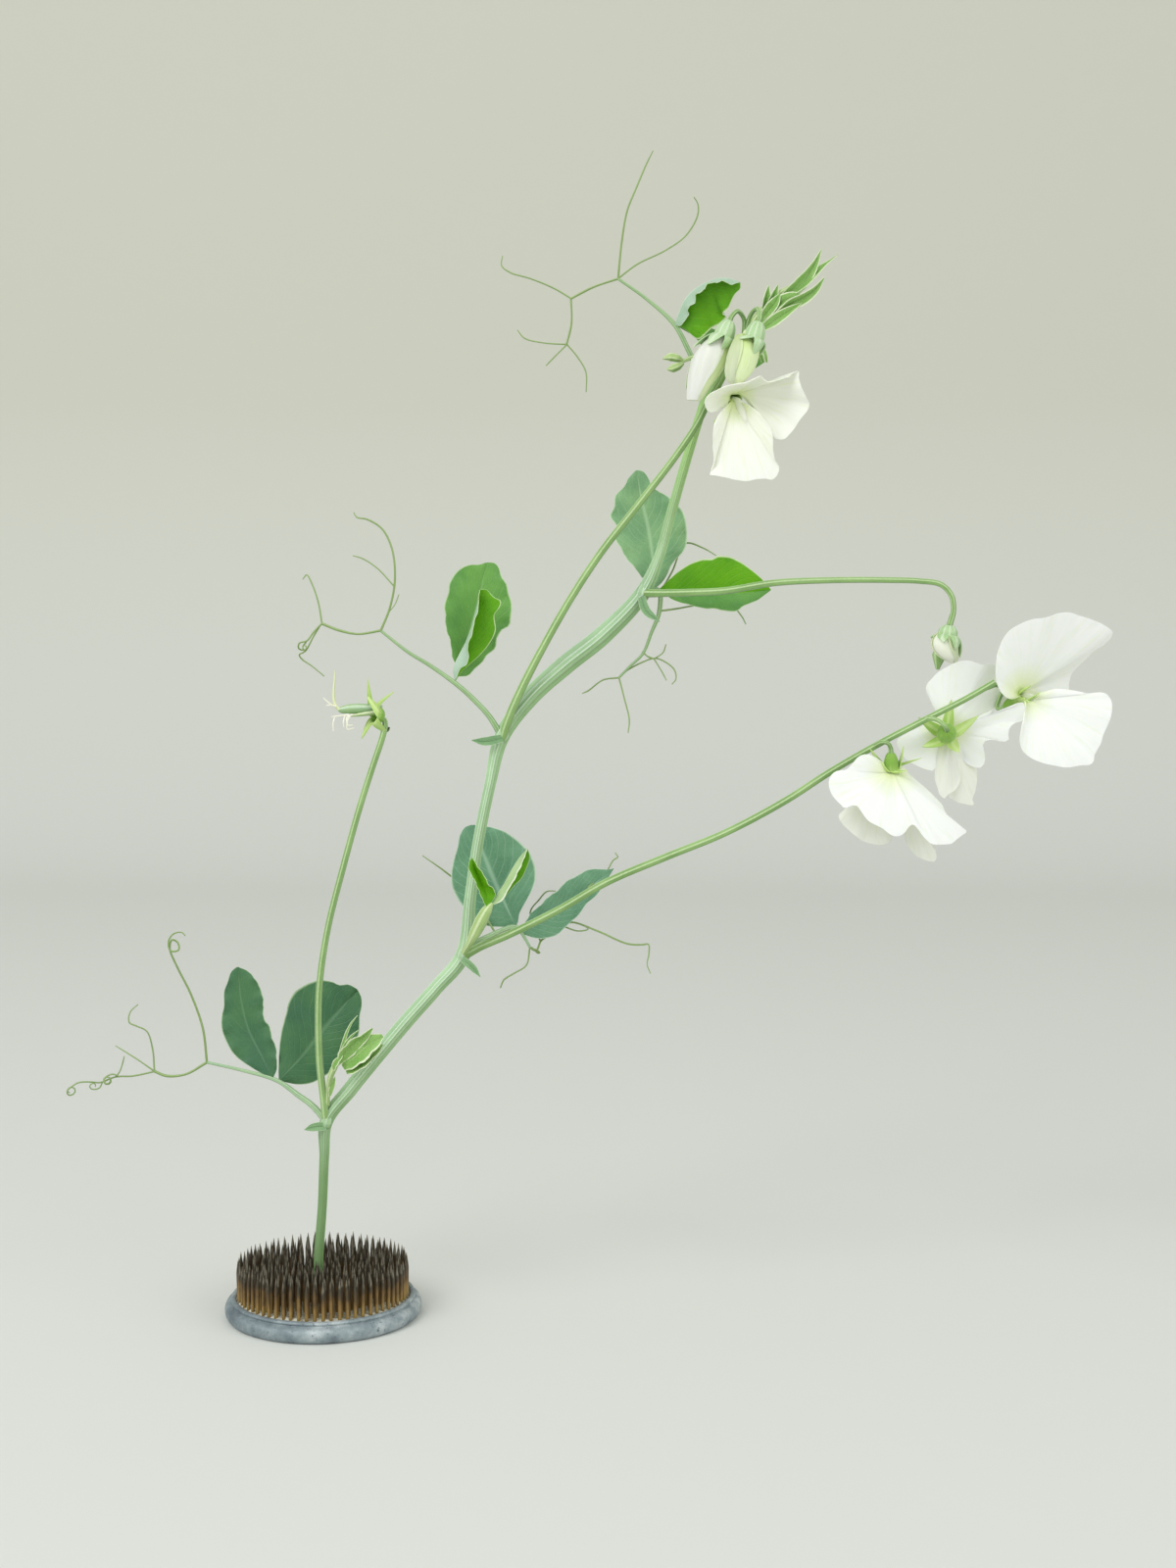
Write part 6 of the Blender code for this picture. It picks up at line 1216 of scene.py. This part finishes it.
pod_skin = stem_finish("young pod skin", "#8fb18d", "#c3d8ba", "#9fbd7c", 3, 0.6)
tube_skin = stem_finish("stamen tube skin", "#b9cc96", "#dfe8c4", "#a7bf74", 3, 0.6)
style_skin = stem_finish("style skin", "#cfd8a0", "#e6eac6", "#dfe5b8", 2, 0.6)
dark_scar = stem_finish("dry scar", "#3f4a2c", "#5c6642", "#2f3822", 3, 0.7)
dry_stamen, tree, shader = finish_of("withered stamen", 0.7)
place = add(tree, "TexCoord", {})
cloud = add(tree, "TexNoise", {"Scale": 500.0}, {"Vector": (place, "Object")})
tone = add(tree, "ValToRGB", {"stops": [(0.35, "#e9e7cf"), (0.7, "#fbfaf0")]}, {"Fac": (cloud, "Fac")})
tree.links.new(tone.outputs["Color"], shader.inputs["Base Color"])

pod = Skin()
strand(pod, [(22.4, -8.5, 212.2), (18.5, -9.6, 212.2), (14.6, -10.4, 212.2), (11.4, -11, 212.1),
             (8.7, -11.2, 211.8), (7.8, -11.2, 211.8)],
       [1.0, 1.5, 1.75, 1.6, 1.1, 0.5], 0.5, 20, plain, 0, 0.7)
strand(pod, [(21.1, -9.6, 210.9), (17.9, -10.6, 210.6), (14.7, -11.6, 210.2), (12.1, -12, 209.8)],
       [0.9, 0.8, 0.6, 0.3], 0.5, 12, plain, 1, 0.8)
strand(pod, [(8.4, -11.2, 211.8), (7.1, -11.2, 212.9), (6.4, -11.1, 214.9), (6.3, -11, 218.2),
             (6.6, -11, 221.8), (6.8, -11, 225.1)],
       [0.6, 0.55, 0.5, 0.4, 0.3, 0.18], 0.5, 10, plain, 2)
for points in ([(7.2, -12, 213), (5.6, -12.2, 213.6), (4.3, -12.2, 214.6), (2.9, -12, 215.9)],
               [(6.2, -12, 213.3), (4.9, -12, 213.4), (3.9, -12, 213.4)],
               [(11.5, -12, 210.3), (9.2, -12.4, 210), (6.9, -12.4, 209.7), (5.6, -12.2, 209.5)],
               [(12.8, -12.2, 210.3), (10.9, -12.6, 209.4), (10.9, -12.8, 207.4),
                (11, -12.8, 205.4), (13.2, -12.6, 205.8)],
               [(11.8, -12.4, 209.7), (11, -12.8, 208.1), (11.2, -12.9, 206.8),
                (12.9, -12.8, 206.8)],
               [(10.2, -12.4, 210), (9.7, -12.6, 208), (9.8, -12.4, 206.1)],
               [(6.9, -12.2, 209.7), (6.2, -12, 207.7), (6.2, -12, 204.7)]):
    strand(pod, points, [0.26, 0.24, 0.22, 0.14], 0.4, 6, plain, 3)
strand(pod, [(23.4, -7.6, 204.2), (24.2, -7.6, 205), (24.7, -7.6, 205.8)], [0.4, 0.55, 0.3], 0.4, 8, plain, 4)
pod.piece("young_pod_and_stamens", [pod_skin, tube_skin, style_skin, dry_stamen, dark_scar],
          ["young_pod"], "leaf_blue_green")


# Setting: a plain pale floor that sweeps up behind, soft studio light and the camera.

pale, tree, shader = finish_of("matt studio paper", 0.9)
place = add(tree, "TexCoord", {})
parts = add(tree, "SeparateXYZ", {}, {"Vector": (place, "Object")})
tone = add(tree, "ValToRGB", {"stops": [(0.0, "#d8dad5"), (0.5, "#d2d3c5")]}, {"Fac": (parts, "Z")})
tree.links.new(tone.outputs["Color"], shader.inputs["Base Color"])
sweep = [(-3.0, 0.0), (1.1, 0.0)]
sweep += [(1.1 + 0.45 * sin(radians(a)), 0.45 - 0.45 * cos(radians(a))) for a in range(6, 91, 6)]
sweep += [(1.55, 3.2)]
mesh = bpy.data.meshes.new("floor")
mesh.from_pydata([(x, y, z) for y, z in sweep for x in (-4, 4)], [],
                 [(2 * i, 2 * i + 1, 2 * i + 3, 2 * i + 2) for i in range(len(sweep) - 1)])
mesh.shade_smooth()
mesh.materials.append(pale)
floor = bpy.data.objects.new("floor", mesh)
bpy.context.scene.collection.objects.link(floor)

scene = bpy.context.scene
scene.view_settings.view_transform = "Standard"
world = bpy.data.worlds.new("soft room")
world.use_nodes = True
world.node_tree.nodes["Background"].inputs["Color"].default_value = srgb("#f5f7f6")
world.node_tree.nodes["Background"].inputs["Strength"].default_value = 0.70
scene.world = world
for name, place, aim, size, power in (
        ("key softbox", (-1.1, -1.3, 1.7), (0.09, 0, 0.2), 1.3, 28.0),
        ("fill softbox", (1.6, -1.2, 0.9), (0.09, 0, 0.2), 1.6, 12.0)):
    light = bpy.data.lights.new(name, "AREA")
    light.size = size
    light.energy = power
    lamp = bpy.data.objects.new(name, light)
    lamp.location = place
    lamp.rotation_mode = "QUATERNION"
    lamp.rotation_quaternion = (Vector(aim) - Vector(place)).to_track_quat("-Z", "Y")
    scene.collection.objects.link(lamp)

camera = bpy.data.objects.new("camera", bpy.data.cameras.new("camera"))
camera.data.lens = 50
camera.data.sensor_width = 36
camera.matrix_world = (Matrix.Translation((0.092, -0.744, 0.250))
                       @ Matrix.Rotation(radians(90 - 4.91), 4, "X") @ Matrix.Rotation(radians(0.2), 4, "Z"))
scene.collection.objects.link(camera)
scene.camera = camera
